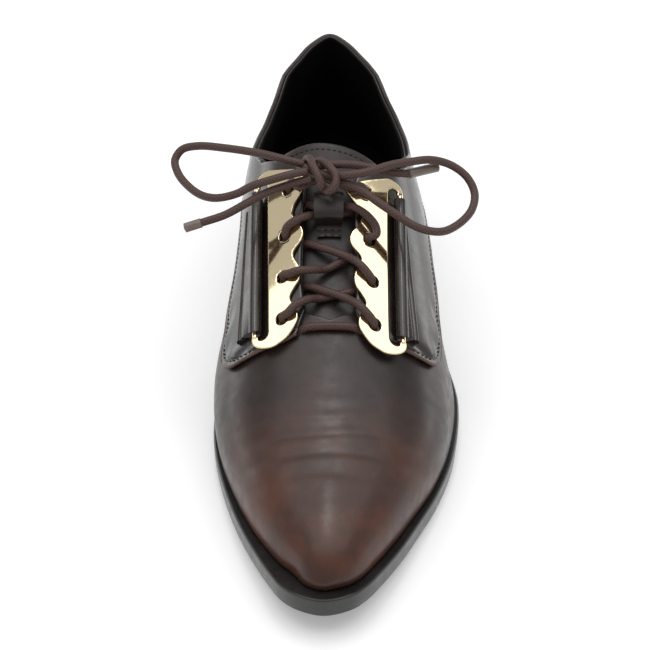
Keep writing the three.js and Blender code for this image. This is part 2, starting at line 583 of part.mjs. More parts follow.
// Flat facing of one side: a down the plate, v from its straight edge towards the tongue, w outwards
const FACING_OFF = LAID + LEATHER + GAP
function facing(side, a, v, w) {
  const at = (s, spread) => {
    const k = stationAt(s)
    return onLast(s, side * (1 - shareAtSpread(k, side, spread)) * section(k, side).total, FACING_OFF)
  }
  const s = PLATE_TOP[side] + a
  const edge = at(s, PLATE_SPREAD[side])
  const across = at(s, PLATE_LEAN).sub(edge).normalize()
  const down = at(s + 4, PLATE_SPREAD[side]).sub(at(s - 4, PLATE_SPREAD[side]))
  const out = across.clone().cross(down).normalize()
  if (out.z < 0) out.negate()
  return edge.addScaledVector(across, v).addScaledVector(out, w + PLATE_SEAT)
}
function onFacing(geometry, side) {
  const position = geometry.getAttribute('position')
  for (let i = 0; i < position.count; i += 1) {
    const p = facing(side, position.getX(i), position.getY(i), position.getZ(i))
    position.setXYZ(i, p.x, p.y, p.z)
  }
  geometry.deleteAttribute('normal')
  geometry.deleteAttribute('uv')
  const closed = mergeVertices(geometry, 1e-4)
  return volume(closed) < 0 ? flipped(closed) : closed
}

// Outline of a lacing plate with its two hooks
function plateShape(side) {
  const L = PLATE_LENGTH
  const tip = -SLOT - HOOK
  const head = PLATE_HEAD[side]
  const shape = new THREE.Shape()
  shape.moveTo(head, 0)
  shape.splineThru([...CROWN.map(([a, v]) => new THREE.Vector2(head + a, v)),
    ...SCALLOPS.map(([a, v]) => new THREE.Vector2(a * L, v))])
  shape.bezierCurveTo(L, 0.5, L - 0.8, tip, L - 4.6, tip)
  shape.lineTo(L - HOOK_END, tip)
  shape.absarc(L - HOOK_END, tip + HOOK / 2, HOOK / 2, -Math.PI / 2, -Math.PI * 1.5, true)
  shape.bezierCurveTo(L - 3.3, -SLOT, L - 3.3, 0, L - 6.8, 0)
  shape.lineTo(head + 6, 0)
  shape.bezierCurveTo(head + 2.4, 0, head + 2.4, -SLOT, head + HOOK_END - 0.8, -SLOT)
  shape.lineTo(head + HOOK_END - 0.4, -SLOT)
  shape.absarc(head + HOOK_END - 0.4, tip + HOOK / 2, HOOK / 2, Math.PI / 2, -Math.PI / 2, true)
  shape.bezierCurveTo(head + 1.2, tip, head - 0.4, -3.6, head, 0)
  HOLES.forEach(({ a, v }) => {
    shape.holes.push(new THREE.Path(Array.from({ length: 10 }, (_, i) => (
      new THREE.Vector2(a * L, v).add(new THREE.Vector2(HOLE_RADIUS, 0).rotateAround(new THREE.Vector2(), i * Math.PI / 5))))))
  })
  return shape
}
const BEVEL = 0.3
const HOOK_END = 5.2 // from a plate's end to the middle of a hook's round tip
const BAR_V = -SLOT - HOOK / 2
const BAR_W = 1.05
function plate(side) {
  const body = new THREE.ExtrudeGeometry(plateShape(side), {
    depth: PLATE_THICK - 2 * BEVEL, bevelThickness: BEVEL, bevelSize: BEVEL, bevelOffset: -BEVEL,
    bevelSegments: 1, curveSegments: 2,
  })
  body.translate(0, 0, BEVEL)
  const steps = 8
  const from = PLATE_HEAD[side] + HOOK_END - 0.4
  const span = PLATE_LENGTH - HOOK_END - from
  const bar = tube(Array.from({ length: steps + 1 }, (_, i) => (
    facing(side, from + span * i / steps, BAR_V, BAR_W))), BAR_RADIUS, steps)
  return join([onFacing(body, side), bar])
}

// Leather loop: rolled round the plate's bar, its tail laid on the quarter
// Girth from the ridge to the tail's cut edge, at the plate's two ends, and to where the tail lifts off
const STRAP_TAIL = { [MEDIAL]: [39, 35.2], [LATERAL]: [29.8, 33] }
const STRAP_BEND = 27
const TAIL_SHARE = 0.955 // the tail is a little shorter than the roll
const STRAP_CLEAR = 1.9 // between the middle of a hook's tip and the roll
const ROLL_INNER = BAR_RADIUS + GAP
const ROLL_OUTER = ROLL_INNER + LEATHER
const TAIL_THICK = 1.9
function strap(side) {
  const steps = 9
  const arc = Array.from({ length: 9 }, (_, i) => THREE.MathUtils.degToRad(-115 + 250 * i / 8))
  const flat = (a) => {
    const tail = THREE.MathUtils.lerp(...STRAP_TAIL[side], a / PLATE_LENGTH)
    return [0, 0.5, 1].map((w) => THREE.MathUtils.lerp(tail, Math.max(tail - 7, STRAP_BEND), w))
  }
  const outline = [...flat(0).map((t) => [-t, 0]),
    ...arc.map((angle) => [-26 + ROLL_OUTER * Math.cos(angle), 2.4 + ROLL_OUTER * Math.sin(angle)]),
    ...flat(0).map((t) => [-t, TAIL_THICK]).reverse()]
  const ring = (radius, angle, a) => (
    facing(side, a, BAR_V + radius * Math.cos(angle), BAR_W + radius * Math.sin(angle)))
  const first = PLATE_HEAD[side] + HOOK_END - 0.4 + STRAP_CLEAR
  const last = PLATE_LENGTH - HOOK_END - STRAP_CLEAR
  const along = (i) => THREE.MathUtils.lerp(first, last, i / steps)
  const stations = Array.from({ length: steps + 1 }, (_, i) => along(i))
  const body = sweep(stations.map((a) => {
    const s = PLATE_TOP[side] + a * TAIL_SHARE
    const rest = FACING_OFF + FLAP_LIFT * smooth(PLATE_TOP[side] + 45, PLATE_TOP[side] + 60, s)
    const low = flat(a).map((t) => onLast(s, side * t, rest))
    const high = flat(a).map((t) => onLast(s, side * t, rest + TAIL_THICK)).reverse()
    return [...low, ...arc.map((angle) => ring(ROLL_OUTER, angle, a)), ...high]
  }), outline)
  const hole = tube(Array.from({ length: steps + 3 }, (_, i) => (
    facing(side, along(i - 1), BAR_V, BAR_W))), ROLL_INNER, steps + 2)
  return cut(body, hole)
}

// Lace: each strand's points are on a plate (side, a, v, w) or on the last (s, t, off)
const OVER = PLATE_THICK + 2.4 * GAP + LACE / 2
const LACE_LOW = UNDER_UPPER + GAP + LACE / 2
const LACE_HIGH = LACE_LOW + LACE
const LACE_ENDS = 7.8 // girth where a low strand stops short of the facing
function strand(i, side, onPlate, onTongue, steps) {
  const hole = (da, dv) => facing(side, HOLES[i].a * PLATE_LENGTH + da, HOLES[i].v + dv, OVER)
  const s = PLATE_TOP[side] + HOLES[i].a * PLATE_LENGTH
  const points = [...onPlate.map(([da, dv]) => hole(da, dv)),
    ...onTongue.map(([ds, t, off]) => onLast(s + ds, -side * t, off))]
  return tube(points, LACE / 2, steps)
}
// Two strands from one pair of holes, crossing over the tongue: steps down the plate and towards
// the tongue first, then steps along the shoe with the girth past the middle line and the height
const OPEN_OVER = [[[0, 0], [-2.5, 2.8], [-4.9, 5.6]],
  [[-7.8, -6.4, LACE_HIGH + 1.2], [-10.4, -1.6, LACE_HIGH - 0.1], [-12.4, 3.2, LACE_LOW + 1.9],
    [-14.6, LACE_ENDS, LACE_LOW + 0.3]]]
const LOW_CROSSING = {
  over: OPEN_OVER,
  under: [[[0, 0], [-1, 2.8], [-3, 5.6]],
    [[-5.4, -7.2, LACE_LOW + 4], [-6.8, -3.8, LACE_LOW + 0.9], [-7.8, 0, LACE_LOW], [-8.9, 4, LACE_LOW],
      [-9.9, LACE_ENDS, LACE_LOW]]],
}
const MIDDLE_CROSSING = {
  over: OPEN_OVER,
  under: [[[0, 0], [0.2, 3.4], [0, 6.8]],
    [[-0.8, -4.8, LACE_HIGH + 1], [-1.6, -2.2, LACE_LOW + 1.6], [-2.8, 0.6, LACE_LOW + 0.7],
      [-4.6, 4.3, LACE_LOW + 1.4], [-6.6, LACE_ENDS, LACE_LOW + 1.2]]],
}
// The top crossing runs under the keeper
const KEPT_CROSSING = {
  over: [[[0, 0], [-1.8, -1.9], [-4.6, -1.9], [-7.6, 0.6], [-9, 3.2]],
    [[-10.9, -7.6, LACE_HIGH + 3.1], [-11.3, -4.6, LACE_LOW + 1.9], [-11.4, 0, LACE_LOW + 1.6],
      [-11.6, 4.6, LACE_LOW + 1], [-13.4, LACE_ENDS, LACE_LOW]]],
  under: [[[0, 0], [-2.2, 2.2], [-4.8, 4.8]],
    [[-6.4, -7.4, LACE_HIGH + 1.2], [-6.7, -4.6, LACE_LOW + 1.9], [-6.8, 0, LACE_LOW + 1.6],
      [-7, 4.6, LACE_LOW + 1], [-8, LACE_ENDS, LACE_LOW]]],
}
const crossing = (i, rows, steps) => join([
  strand(i, LATERAL, ...rows.over, steps), strand(i, MEDIAL, ...rows.under, steps)])
function laceBar() {
  const s = PLATE_TOP[MEDIAL] + HOLES[3].a * PLATE_LENGTH + 4.4
  const rest = GAP + LACE / 2
  return tube([-LACE_ENDS, -4, 0, 4, LACE_ENDS].map((t) => onLast(s, t, rest)), LACE / 2, 4)
}

// Sole, heel and insole
const HEEL_SHARE = HEEL_LENGTH / LENGTH
function outsole() {
  const plan = soleOutline(2)
  const inset = (d) => insetOutline(plan, () => d)
  return stack([level(inset(0.9), underside), level(inset(0.2), (s) => underside(s) + 0.8),
    level(plan, (s) => soleTop(s) - 0.7),
    level(inset(0.6), soleTop)])
}
// The heel's outline: the sole's back, closed by a slightly hollow front
function heelPlan(d) {
  const plan = insetOutline(soleOutline(4), () => d)
  const rear = soleOutline(4).map((p, i) => ({ p, i })).filter(({ p }) => p.s < HEEL_SHARE * LENGTH).map(({ i }) => i)
  const lateral = rear.filter((i) => i > plan.length / 2)
  const medial = rear.filter((i) => i < plan.length / 2)
  const half = Math.min(lateral.length, medial.length - 1)
  const arc = (x) => HEEL_SHARE * LENGTH - d - 3 * (1 - (x / (0.36 * BALL_WIDTH)) ** 2)
  const left = medial.slice(0, half + 1).map((i) => plan[i])
  const right = lateral.slice(-half).map((i) => plan[i])
  const front = [-0.24, -0.12, 0, 0.12, 0.24].map((x) => ({ s: arc(x * BALL_WIDTH), x: x * BALL_WIDTH }))
  return [...left, ...front, ...right]
}
function heelBlock() {
  return stack([level(heelPlan(HEEL_TAPER), () => LIFT_THICK + GAP),
    level(heelPlan(0.5), (s) => underside(s) - GAP - 1), level(heelPlan(0.7), (s) => underside(s) - GAP)], true)
}
function topLift() {
  return stack([level(heelPlan(HEEL_TAPER + 0.4), () => 0), level(heelPlan(HEEL_TAPER), () => 0.6),
    level(heelPlan(HEEL_TAPER), () => LIFT_THICK)], true)
}
// The insole's edge keeps clear of the upper's inside along every ray of the last
function insole() {
  const steps = (from, to, count) => Array.from({ length: count }, (_, i) => from + (to - from) * i / count)
  const stations = [...steps(-1, 0, 6), ...steps(0, 1, 18), ...steps(1, 2, 6), 2]
  const edge = (k, side) => {
    const ray = stationRay(k, side)
    const room = WALL + 4 * GAP + 3 * smooth(0.85 * LENGTH, LENGTH, ray.s + ray.ds * ray.reach)
    return { s: ray.s + ray.ds * (ray.reach - room), x: ray.x + ray.dx * (ray.reach - room) }
  }
  const plan = [...stations.map((k) => edge(k, MEDIAL)),
    ...stations.slice(1, -1).reverse().map((k) => edge(k, LATERAL))]
  return stack([level(plan, feather), level(plan, (s) => feather(s) + INSOLE_THICK)])
}

// Bow: points by hand, from the knot outwards
const KNOT = [[-6.8, -92.9, 91.4], [-4.6, -97.0, 90.2], [-1.6, -101.3, 88.2], [-0.4, -102.8, 86.6]]
const LOOP_MEDIAL = [
  [-9.9, -95.1, 91.5], [-12.6, -95.0, 92.2], [-18.8, -93.9, 93.4], [-26.6, -90.9, 93.6],
  [-38.9, -86.9, 93.2], [-49.1, -83.5, 91.9], [-55.1, -83.0, 90.0], [-57.7, -85.9, 87.3],
  [-56.4, -90.9, 84.8], [-52.4, -97.0, 83.2], [-47.4, -101.6, 82.3], [-41.8, -104.4, 82.9],
  [-34.4, -105.0, 85.1], [-28.6, -103.4, 87.5], [-20.5, -102.4, 89.9], [-13.6, -100.8, 91.1],
  [-8.7, -99.0, 91.0],
]
const LOOP_LATERAL = [
  [2.4, -100.4, 90.0], [4.5, -101.6, 90.9], [7.8, -101.9, 91.5], [13.3, -100.7, 91.8],
  [22.1, -96.7, 92.2], [28.8, -94.1, 91.8], [37.0, -91.0, 90.7], [44.5, -90.4, 88.0],
  [50.4, -93.1, 84.5], [53.1, -98.0, 80.7], [51.9, -104.5, 78.1], [47.6, -110.6, 76.5],
  [41.5, -115.3, 75.9], [36.4, -116.4, 76.6], [30.6, -115.5, 78.2], [24.1, -112.2, 80.8],
  [17.6, -108.6, 83.6], [11.1, -104.1, 86.2], [6.7, -102.1, 87.3], [3.3, -100.8, 87.8],
]
const END_MEDIAL = [
  [-7.0, -99.9, 88.3], [-11.1, -100.4, 87.5], [-14.8, -101.2, 86.7], [-22.8, -103.3, 84.8],
  [-30.4, -106.6, 82.2], [-38.4, -110.0, 79.3], [-47.1, -111.9, 77.1],
]
const TIP_MEDIAL = [[-47.5, -111.9, 77.0], [-53.0, -112.7, 75.4]]
const END_LATERAL = [
  [-1.1, -94.9, 91.1], [4.2, -94.8, 91.2], [8.6, -94.4, 90.7], [14.5, -94.6, 89.7],
  [20.0, -95.2, 88.6], [24.4, -95.4, 87.9], [28.5, -95.3, 87.3],
]
const TIP_LATERAL = [[29.2, -94.7, 87.1], [39.5, -88.6, 85.9]]
const spots = (rows) => rows.map((r) => new THREE.Vector3(...r))
const bowTube = (rows, diameter, steps) => tube(spots(rows), diameter / 2, steps)

// Strand from one top hole to the other, under the knot: share of the way from hole to hole, then
// steps along the shoe and up
const TIE = [[0.188, -3.7, 2.5], [0.321, -1.4, 3.3], [0.451, 0.2, 4.2], [0.617, -0.8, 3.3], [0.751, -2.5, 2.5]]
function laceTie() {
  const top = (side, da, dv) => facing(side, HOLES[0].a * PLATE_LENGTH + da, HOLES[0].v + dv, OVER)
  const from = top(MEDIAL, 0, 0)
  const to = top(LATERAL, 0, 0)
  const middle = TIE.map(([way, along, up]) => from.clone().lerp(to, way).add(new THREE.Vector3(0, along, up)))
  return tube([from, top(MEDIAL, -0.6, 3), ...middle, top(LATERAL, -0.6, 3), to], LACE / 2, 12)
}

// Materials
const finish = (color, roughness, metalness = 0) => new THREE.MeshStandardMaterial({ color, roughness, metalness })
const BROWN = finish(0x3b2a26, 0.35)
const VAMP_BROWN = finish(0x4a2f28, 0.3)
const LACE_BROWN = finish(0x4d342d, 0.8)
const GOLD = finish(0xe9d6a0, 0.12, 1)
const SOLE_BLACK = finish(0x161414, 0.25)
const LINING = finish(0x0c0b0b, 0.6)
const AGLET_GREY = finish(0x6e605a, 0.35)

const shoe = new THREE.Group()
function add(name, geometry, material) {
  const mesh = new THREE.Mesh(geometry, material)
  mesh.name = name
  shoe.add(mesh)
}
add('outsole', outsole(), SOLE_BLACK)
add('heel', heelBlock(), SOLE_BLACK)
add('heel_top_lift', topLift(), SOLE_BLACK)
add('insole', insole(), LINING)
add('upper', upper(), VAMP_BROWN)
add('tongue', tongue(), BROWN)
add('lace_keeper', laceKeeper(), BROWN)
SIDES.forEach((side) => {
  const name = columnOf(side)
  add(`quarter_${name}`, quarter(side), BROWN)
  add(`plate_${name}`, plate(side), GOLD)
  add(`strap_${name}`, strap(side), BROWN)
})
add('lace_crossing_top', crossing(1, KEPT_CROSSING, 12), LACE_BROWN)
add('lace_crossing_middle', crossing(2, MIDDLE_CROSSING, 10), LACE_BROWN)
add('lace_crossing_low', crossing(3, LOW_CROSSING, 10), LACE_BROWN)
add('lace_bar', laceBar(), LACE_BROWN)
add('lace_tie', laceTie(), LACE_BROWN)
add('lace_knot', bowTube(KNOT, 2.2 * LACE, 2), LACE_BROWN)
add('lace_loop_medial', bowTube(LOOP_MEDIAL, LACE, 26), LACE_BROWN)
add('lace_loop_lateral', bowTube(LOOP_LATERAL, LACE, 26), LACE_BROWN)
add('lace_end_medial', bowTube(END_MEDIAL, LACE, 6), LACE_BROWN)
add('lace_end_lateral', bowTube(END_LATERAL, LACE, 5), LACE_BROWN)
add('aglet_medial', bowTube(TIP_MEDIAL, AGLET, 1), AGLET_GREY)
add('aglet_lateral', bowTube(TIP_LATERAL, AGLET, 1), AGLET_GREY)

export default shoe
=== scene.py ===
"""Looks of a laced pointed shoe, built around its packed frame and laid out as a Blender add-on."""
import math

import bmesh
import bpy
import numpy as np
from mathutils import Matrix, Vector
from mathutils.geometry import tessellate_polygon


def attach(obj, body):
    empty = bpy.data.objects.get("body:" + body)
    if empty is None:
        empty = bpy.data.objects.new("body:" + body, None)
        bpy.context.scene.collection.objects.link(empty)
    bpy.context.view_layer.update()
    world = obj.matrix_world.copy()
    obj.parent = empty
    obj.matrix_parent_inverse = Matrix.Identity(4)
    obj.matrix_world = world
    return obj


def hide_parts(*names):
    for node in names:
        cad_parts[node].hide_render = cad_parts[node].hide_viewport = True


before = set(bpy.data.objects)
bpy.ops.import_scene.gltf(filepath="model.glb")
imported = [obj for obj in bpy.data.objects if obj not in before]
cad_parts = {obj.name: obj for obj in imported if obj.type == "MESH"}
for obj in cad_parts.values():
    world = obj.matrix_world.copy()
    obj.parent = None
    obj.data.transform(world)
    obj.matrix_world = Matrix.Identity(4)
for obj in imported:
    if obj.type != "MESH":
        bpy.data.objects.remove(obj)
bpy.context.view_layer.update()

bl_info = {
    "name": "Laced pointed shoe",
    "version": (1, 0, 0),
    "blender": (4, 5, 0),
    "location": "3D View > Sidebar > Shoe",
    "description": "Leather, lining, lacing plates, laces and sole of a laced pointed shoe",
    "category": "Object",
}

MM = 0.001

# Driving sizes, the same as the solids have
LENGTH = 272 * MM
BALL_WIDTH = 91.5 * MM
HEEL_HEIGHT = 23 * MM
SOLE_THICK = 8 * MM
WAIST_THICK = 5 * MM
TOE_SPRING = 8 * MM
HEEL_LENGTH = 64 * MM
HEEL_TAPER = 1.8 * MM
LIFT_THICK = 3 * MM
WELT = 4 * MM
INSTEP_RISE = 80.5 * MM
COLLAR_RISE = 57 * MM
WALL = 1.6 * MM
LEATHER = 1.2 * MM
INSOLE_THICK = 2 * MM
TONGUE_THICK = 2 * MM
THROAT_HALF = 9.5 * MM
TONGUE_HALF = 30 * MM
PLATE_THICK = 1.3 * MM
HOLE_RADIUS = 2.3 * MM
BAR_RADIUS = 0.9 * MM
SLOT = 4.1 * MM
HOOK = 2.3 * MM
KEEPER_WIDTH = 9.4 * MM
LACE = 3 * MM
AGLET = 3.6 * MM
GAP = 0.3 * MM
LAID = 0.6 * MM

MEDIAL, LATERAL = 0, 1
SIDES = (MEDIAL, LATERAL)
NAMES = ("medial", "lateral")
SIGN = np.array([-1.0, 1.0])
ORIGIN_S = HEEL_LENGTH / 2

# Sole outline: distance from the heel as a share of LENGTH, half-widths as shares of BALL_WIDTH
OUTLINE = {
    "s": [0.007, 0.029, 0.066, 0.118, 0.176, 0.243, 0.316, 0.390, 0.456, 0.522,
          0.581, 0.625, 0.676, 0.728, 0.790, 0.849, 0.901, 0.945, 0.974, 0.993],
    "medial": [0.098, 0.197, 0.273, 0.322, 0.333, 0.322, 0.311, 0.322, 0.361, 0.415,
               0.457, 0.474, 0.472, 0.450, 0.407, 0.353, 0.293, 0.234, 0.186, 0.126],
    "lateral": [0.098, 0.197, 0.279, 0.328, 0.350, 0.355, 0.366, 0.399, 0.448, 0.497,
                0.527, 0.528, 0.511, 0.479, 0.417, 0.338, 0.264, 0.190, 0.134, 0.077],
}
HEEL_TIP = (-0.004, 0.0)
TOE_TIP = (1.005, -0.028)
WELT_ROWS = {
    "s": [-0.004, 0.22, 0.44, 0.625, 0.7, 0.79, 0.882, 0.9375, 0.97, 1],
    "medial": [0.35, 0.35, 0.4, 0.3, 0.33, 0.55, 0.9, 1.3, 1.7, 1.25],
    "lateral": [0.35, 0.35, 0.4, 0.4, 0.45, 0.55, 0.8, 0.9, 0.95, 1.25],
}
RIDGE = {
    "s": [0, 0.221, 0.331, 0.386, 0.441, 0.496, 0.551, 0.607, 0.662, 0.717, 0.772, 0.827,
          0.882, 0.9375, 0.985],
    "rise": [1.19, 1.14, 1.03, 0.975, 0.89, 0.804, 0.717, 0.634, 0.547, 0.46, 0.379, 0.317,
             0.273, 0.236, 0.211],
}
MIDLINE = {
    "s": [0, 0.221, 0.368, 0.625, 0.735, 0.827, 0.919, 0.985],
    "x": [0.003, 0, -0.005, -0.004, 0.002, -0.007, -0.02, -0.028],
}
SQUARENESS = {
    "s": [0, 0.221, 0.331, 0.386, 0.441, 0.551, 0.662, 0.754, 0.838],
    "n": [3.2, 3, 2.7, 2.35, 2.2, 2.1, 2.1, 2.15, 2.35],
}
FEATHER_BULGE = {
    "s": [0, 0.221, 0.404, 0.515, 0.607, 0.699, 0.79, 0.901, 0.985],
    "medial": [0.016, 0.017, 0.016, 0.024, 0.026, 0.02, 0.017, 0.015, 0.011],
    "lateral": [0.016, 0.017, 0.005, -0.013, -0.011, 0.007, 0.02, 0.017, 0.011],
}
WALL_BULGE = {
    "s": [0, 0.044, 0.11, 0.165, 0.221, 0.276, 0.331, 0.386, 0.46, 0.551, 0.625, 0.699],
    "medial": [-0.098, -0.122, -0.1, -0.073, -0.03, 0.021, 0.065, 0.081, 0.066, 0.024, 0, 0],
    "lateral": [-0.098, -0.122, -0.1, -0.073, -0.036, -0.006, 0.015, 0.038, 0.033, 0.003,
                -0.005, 0],
}
BULGE_HEIGHT = 0.19
BULGE_SPREAD = 0.16
BACK_CURVE = 0.02
COLLAR = {
    "s": [0, 0.037, 0.066, 0.11, 0.165, 0.221, 0.276, 0.331, 0.368],
    "rise": [1, 0.974, 0.93, 0.868, 0.781, 0.781, 0.842, 0.947, 1.061],
}
THROAT = {
    "s": [0.382, 0.401, 0.419, 0.434, 0.452, 0.625, 0.638],
    "medial": [3.3, 2.4, 1.45, 1.08, 1, 0.95, 0],
    "lateral": [3.8, 3.2, 2.5, 1.5, 1.04, 0.95, 0],
}
QUARTER_REAR = {
    "u": [0, 0.12, 0.24, 0.36, 0.5, 0.58, 0.66, 0.74],
    "s": [None, None, None, 0.221, 0.338, 0.404, 0.474, 0.54],
    "medial": [0.48, 0.48, 0.5, 0.55, 0.66, 0.69, 0.62, 0.5],
    "lateral": [0.48, 0.48, 0.5, 0.55, 0.66, 0.7, 0.67, 0.56],
}
QUARTER_FLAP = {
    "u": [0.8, 0.84, 0.87, 0.895, 0.93, 0.96, 0.985, 1],
    "s": [0.594, 0.621, 0.64, 0.652, 0.658, 0.66, 0.66, 0.655],
    "medial": [0.36, 0.345, 0.37, 0.43, 0.54, 0.66, 0.76, 0.83],
    "lateral": [0.375, 0.37, 0.385, 0.43, 0.53, 0.65, 0.75, 0.83],
}
QUARTER_TOP = {
    "u": [0, 0.12, 0.24, 0.36, 0.5, 0.58, 0.62, 0.66, 0.7, 0.76, 0.84, 0.93, 1],
    "s": [None, None, None, 0.221, 0.32, 0.368, 0.385, 0.41, 0.436, 0.475, 0.55, 0.61, 0.624],
}
REAR_STATIONS = (-1, -0.5, 0)
FLAP_LIFT = 0.35 * MM

# Lacing plates: a runs down the plate, v from its straight edge towards the tongue
PLATE_LENGTH = 71.5 * MM
PLATE_TOP = (0.40625 * LENGTH, 0.41728 * LENGTH)
PLATE_SPREAD = (20.4 * MM, 19.9 * MM)
PLATE_LEAN = 8.5 * MM
PLATE_SEAT = 0.8 * MM
HOLES = ((0.182, 9.2 * MM), (0.415, 7.2 * MM), (0.637, 5.9 * MM), (0.86, 5.2 * MM))
SCALLOPS = (
    (0.165, 16.2), (0.205, 16.9), (0.24, 14.4), (0.275, 11.6), (0.315, 10.6), (0.36, 11.8), (0.4, 14),
    (0.44, 14.8), (0.475, 13.8), (0.505, 11.2), (0.53, 10.2), (0.56, 10.9), (0.6, 12.3), (0.645, 12.9),
    (0.685, 12.1), (0.72, 10), (0.757, 8.4), (0.795, 9.4), (0.84, 11), (0.885, 11.1), (0.93, 9),
    (0.965, 6.4), (0.99, 2.5),
)
PLATE_HEAD = (1.6 * MM, 4.6 * MM)
CROWN = ((1.9, 4.5), (3.9, 9), (6, 13.2))
HOOK_END = 5.2 * MM
BAR_V = -SLOT - HOOK / 2
BAR_W = 1.05 * MM
FACING_OFF = LAID + LEATHER + GAP
UNDER_UPPER = -WALL - 3.4 * GAP
TONGUE_TOP = 0.402
TONGUE_END = 0.684
STRAP_TAIL = ((39 * MM, 35.2 * MM), (29.8 * MM, 33 * MM))
STRAP_BEND = 27 * MM
TAIL_SHARE = 0.955
STRAP_CLEAR = 1.9 * MM
ROLL_INNER = BAR_RADIUS + GAP
ROLL_OUTER = ROLL_INNER + LEATHER
TAIL_THICK = 1.9 * MM
KEEPER_LINE = ((0.462, 0), (0.4706, 0), (0.4757, 6.1), (0.501, 6.1), (0.51, 0), (0.522, 0))
OVER = PLATE_THICK + 2.4 * GAP + LACE / 2
LACE_LOW = UNDER_UPPER + GAP + LACE / 2
LACE_HIGH = LACE_LOW + LACE

# Leather edges and stitches
EDGE_ROUND = 0.45 * MM
THREAD_RADIUS = 0.24 * MM
STITCH_SHARE = 0.72
STITCH_VARY = (0.44, 0.52)
STITCH_SEED = 7

# Bow: points given in metres, from the knot outwards
KNOT = (
    ((-0.0096, -0.0930, 0.0892), (-0.0090, -0.0922, 0.0912), (-0.0079, -0.0932, 0.0928),
     (-0.0064, -0.0977, 0.0926), (-0.0045, -0.1018, 0.0910), (-0.0031, -0.1039, 0.0884),
     (-0.0026, -0.1030, 0.0858)),
    ((-0.0060, -0.0935, 0.0888), (-0.0046, -0.0925, 0.0910), (-0.0024, -0.0954, 0.0924),
     (0.0002, -0.0991, 0.0922), (0.0020, -0.1021, 0.0908), (0.0016, -0.1048, 0.0888),
     (-0.0002, -0.1058, 0.0869), (-0.0020, -0.1029, 0.0856)),
    ((-0.0098, -0.0957, 0.0908), (-0.0062, -0.0972, 0.0898), (-0.0020, -0.0985, 0.0890),
     (0.0028, -0.0998, 0.0890)),
)
LOOP_MEDIAL = (
    (-0.0099, -0.0951, 0.0915), (-0.0126, -0.0950, 0.0922), (-0.0188, -0.0939, 0.0934),
    (-0.0266, -0.0909, 0.0936), (-0.0389, -0.0869, 0.0932), (-0.0491, -0.0835, 0.0919),
    (-0.0551, -0.0830, 0.0900), (-0.0577, -0.0859, 0.0873), (-0.0564, -0.0909, 0.0848),
    (-0.0524, -0.0970, 0.0832), (-0.0474, -0.1016, 0.0823), (-0.0418, -0.1044, 0.0829),
    (-0.0344, -0.1050, 0.0851), (-0.0286, -0.1034, 0.0875), (-0.0205, -0.1024, 0.0899),
    (-0.0136, -0.1008, 0.0911), (-0.0087, -0.0990, 0.0910),
)
LOOP_LATERAL = (
    (0.0024, -0.1004, 0.0900), (0.0045, -0.1016, 0.0909), (0.0078, -0.1019, 0.0915),
    (0.0133, -0.1007, 0.0918), (0.0221, -0.0967, 0.0922), (0.0288, -0.0941, 0.0918),
    (0.0370, -0.0910, 0.0907), (0.0445, -0.0904, 0.0880), (0.0504, -0.0931, 0.0845),
    (0.0531, -0.0980, 0.0807), (0.0519, -0.1045, 0.0781), (0.0476, -0.1106, 0.0765),
    (0.0415, -0.1153, 0.0759), (0.0364, -0.1164, 0.0766), (0.0306, -0.1155, 0.0782),
    (0.0241, -0.1122, 0.0808), (0.0176, -0.1086, 0.0836), (0.0111, -0.1041, 0.0862),
    (0.0067, -0.1021, 0.0873), (0.0033, -0.1008, 0.0878),
)
END_MEDIAL = (
    (-0.0070, -0.0999, 0.0883), (-0.0111, -0.1004, 0.0875), (-0.0148, -0.1012, 0.0867),
    (-0.0228, -0.1033, 0.0848), (-0.0304, -0.1066, 0.0822), (-0.0384, -0.1100, 0.0793),
    (-0.0471, -0.1119, 0.0771),
)
TIP_MEDIAL = ((-0.0471, -0.1119, 0.0771), (-0.0530, -0.1127, 0.0754))
END_LATERAL = (
    (-0.0045, -0.0951, 0.0906), (-0.0011, -0.0949, 0.0911), (0.0042, -0.0948, 0.0912),
    (0.0086, -0.0944, 0.0907), (0.0145, -0.0946, 0.0897), (0.0200, -0.0952, 0.0886),
    (0.0244, -0.0954, 0.0879), (0.0288, -0.0949, 0.0872),
)
TIP_LATERAL = ((0.0288, -0.0949, 0.0872), (0.0395, -0.0886, 0.0859))
TIE = ((0.188, -3.7, 2.5), (0.321, -1.4, 3.3), (0.451, 0.2, 4.2), (0.617, -0.8, 3.3),
       (0.751, -2.5, 2.5))


def smooth(a, b, x):
    """Smooth step from 0 at a to 1 at b."""
    t = np.clip((np.asarray(x, float) - a) / (b - a), 0, 1)
    return t * t * (3 - 2 * t)


def mix(a, b, t):
    return a + (b - a) * t


def look_up(rows, key, column, x):
    """Reads a column of a table at x, along a smooth curve through the rows."""
    keys = np.array(rows[key], float)
    values = np.array(rows[column], float)
    x = np.clip(np.asarray(x, float), keys[0], keys[-1])
    i = np.clip(np.searchsorted(keys, x, side="left") - 1, 0, len(keys) - 2)
    before = np.maximum(np.arange(len(keys)) - 1, 0)
    after = np.minimum(np.arange(len(keys)) + 1, len(keys) - 1)
    slope = (values[after] - values[before]) / (keys[after] - keys[before])
    h = keys[i + 1] - keys[i]
    t = (x - keys[i]) / h
    rise = (3 - 2 * t) * t * t
    ease = t * (1 - t) ** 2 * h * slope[i] - t * t * (1 - t) * h * slope[i + 1]
    return values[i] * (1 - rise) + values[i + 1] * rise + ease


def share(rows, column, s):
    return look_up(rows, "s", column, np.asarray(s) / LENGTH)


def underside(s):
    s = np.asarray(s, float)
    heel = (HEEL_HEIGHT - WAIST_THICK) * (1 - smooth(0.17 * LENGTH, 0.588 * LENGTH, s))
    toe = TOE_SPRING * (np.maximum(s - 0.684 * LENGTH, 0) / (0.316 * LENGTH)) ** 2
    return heel + toe


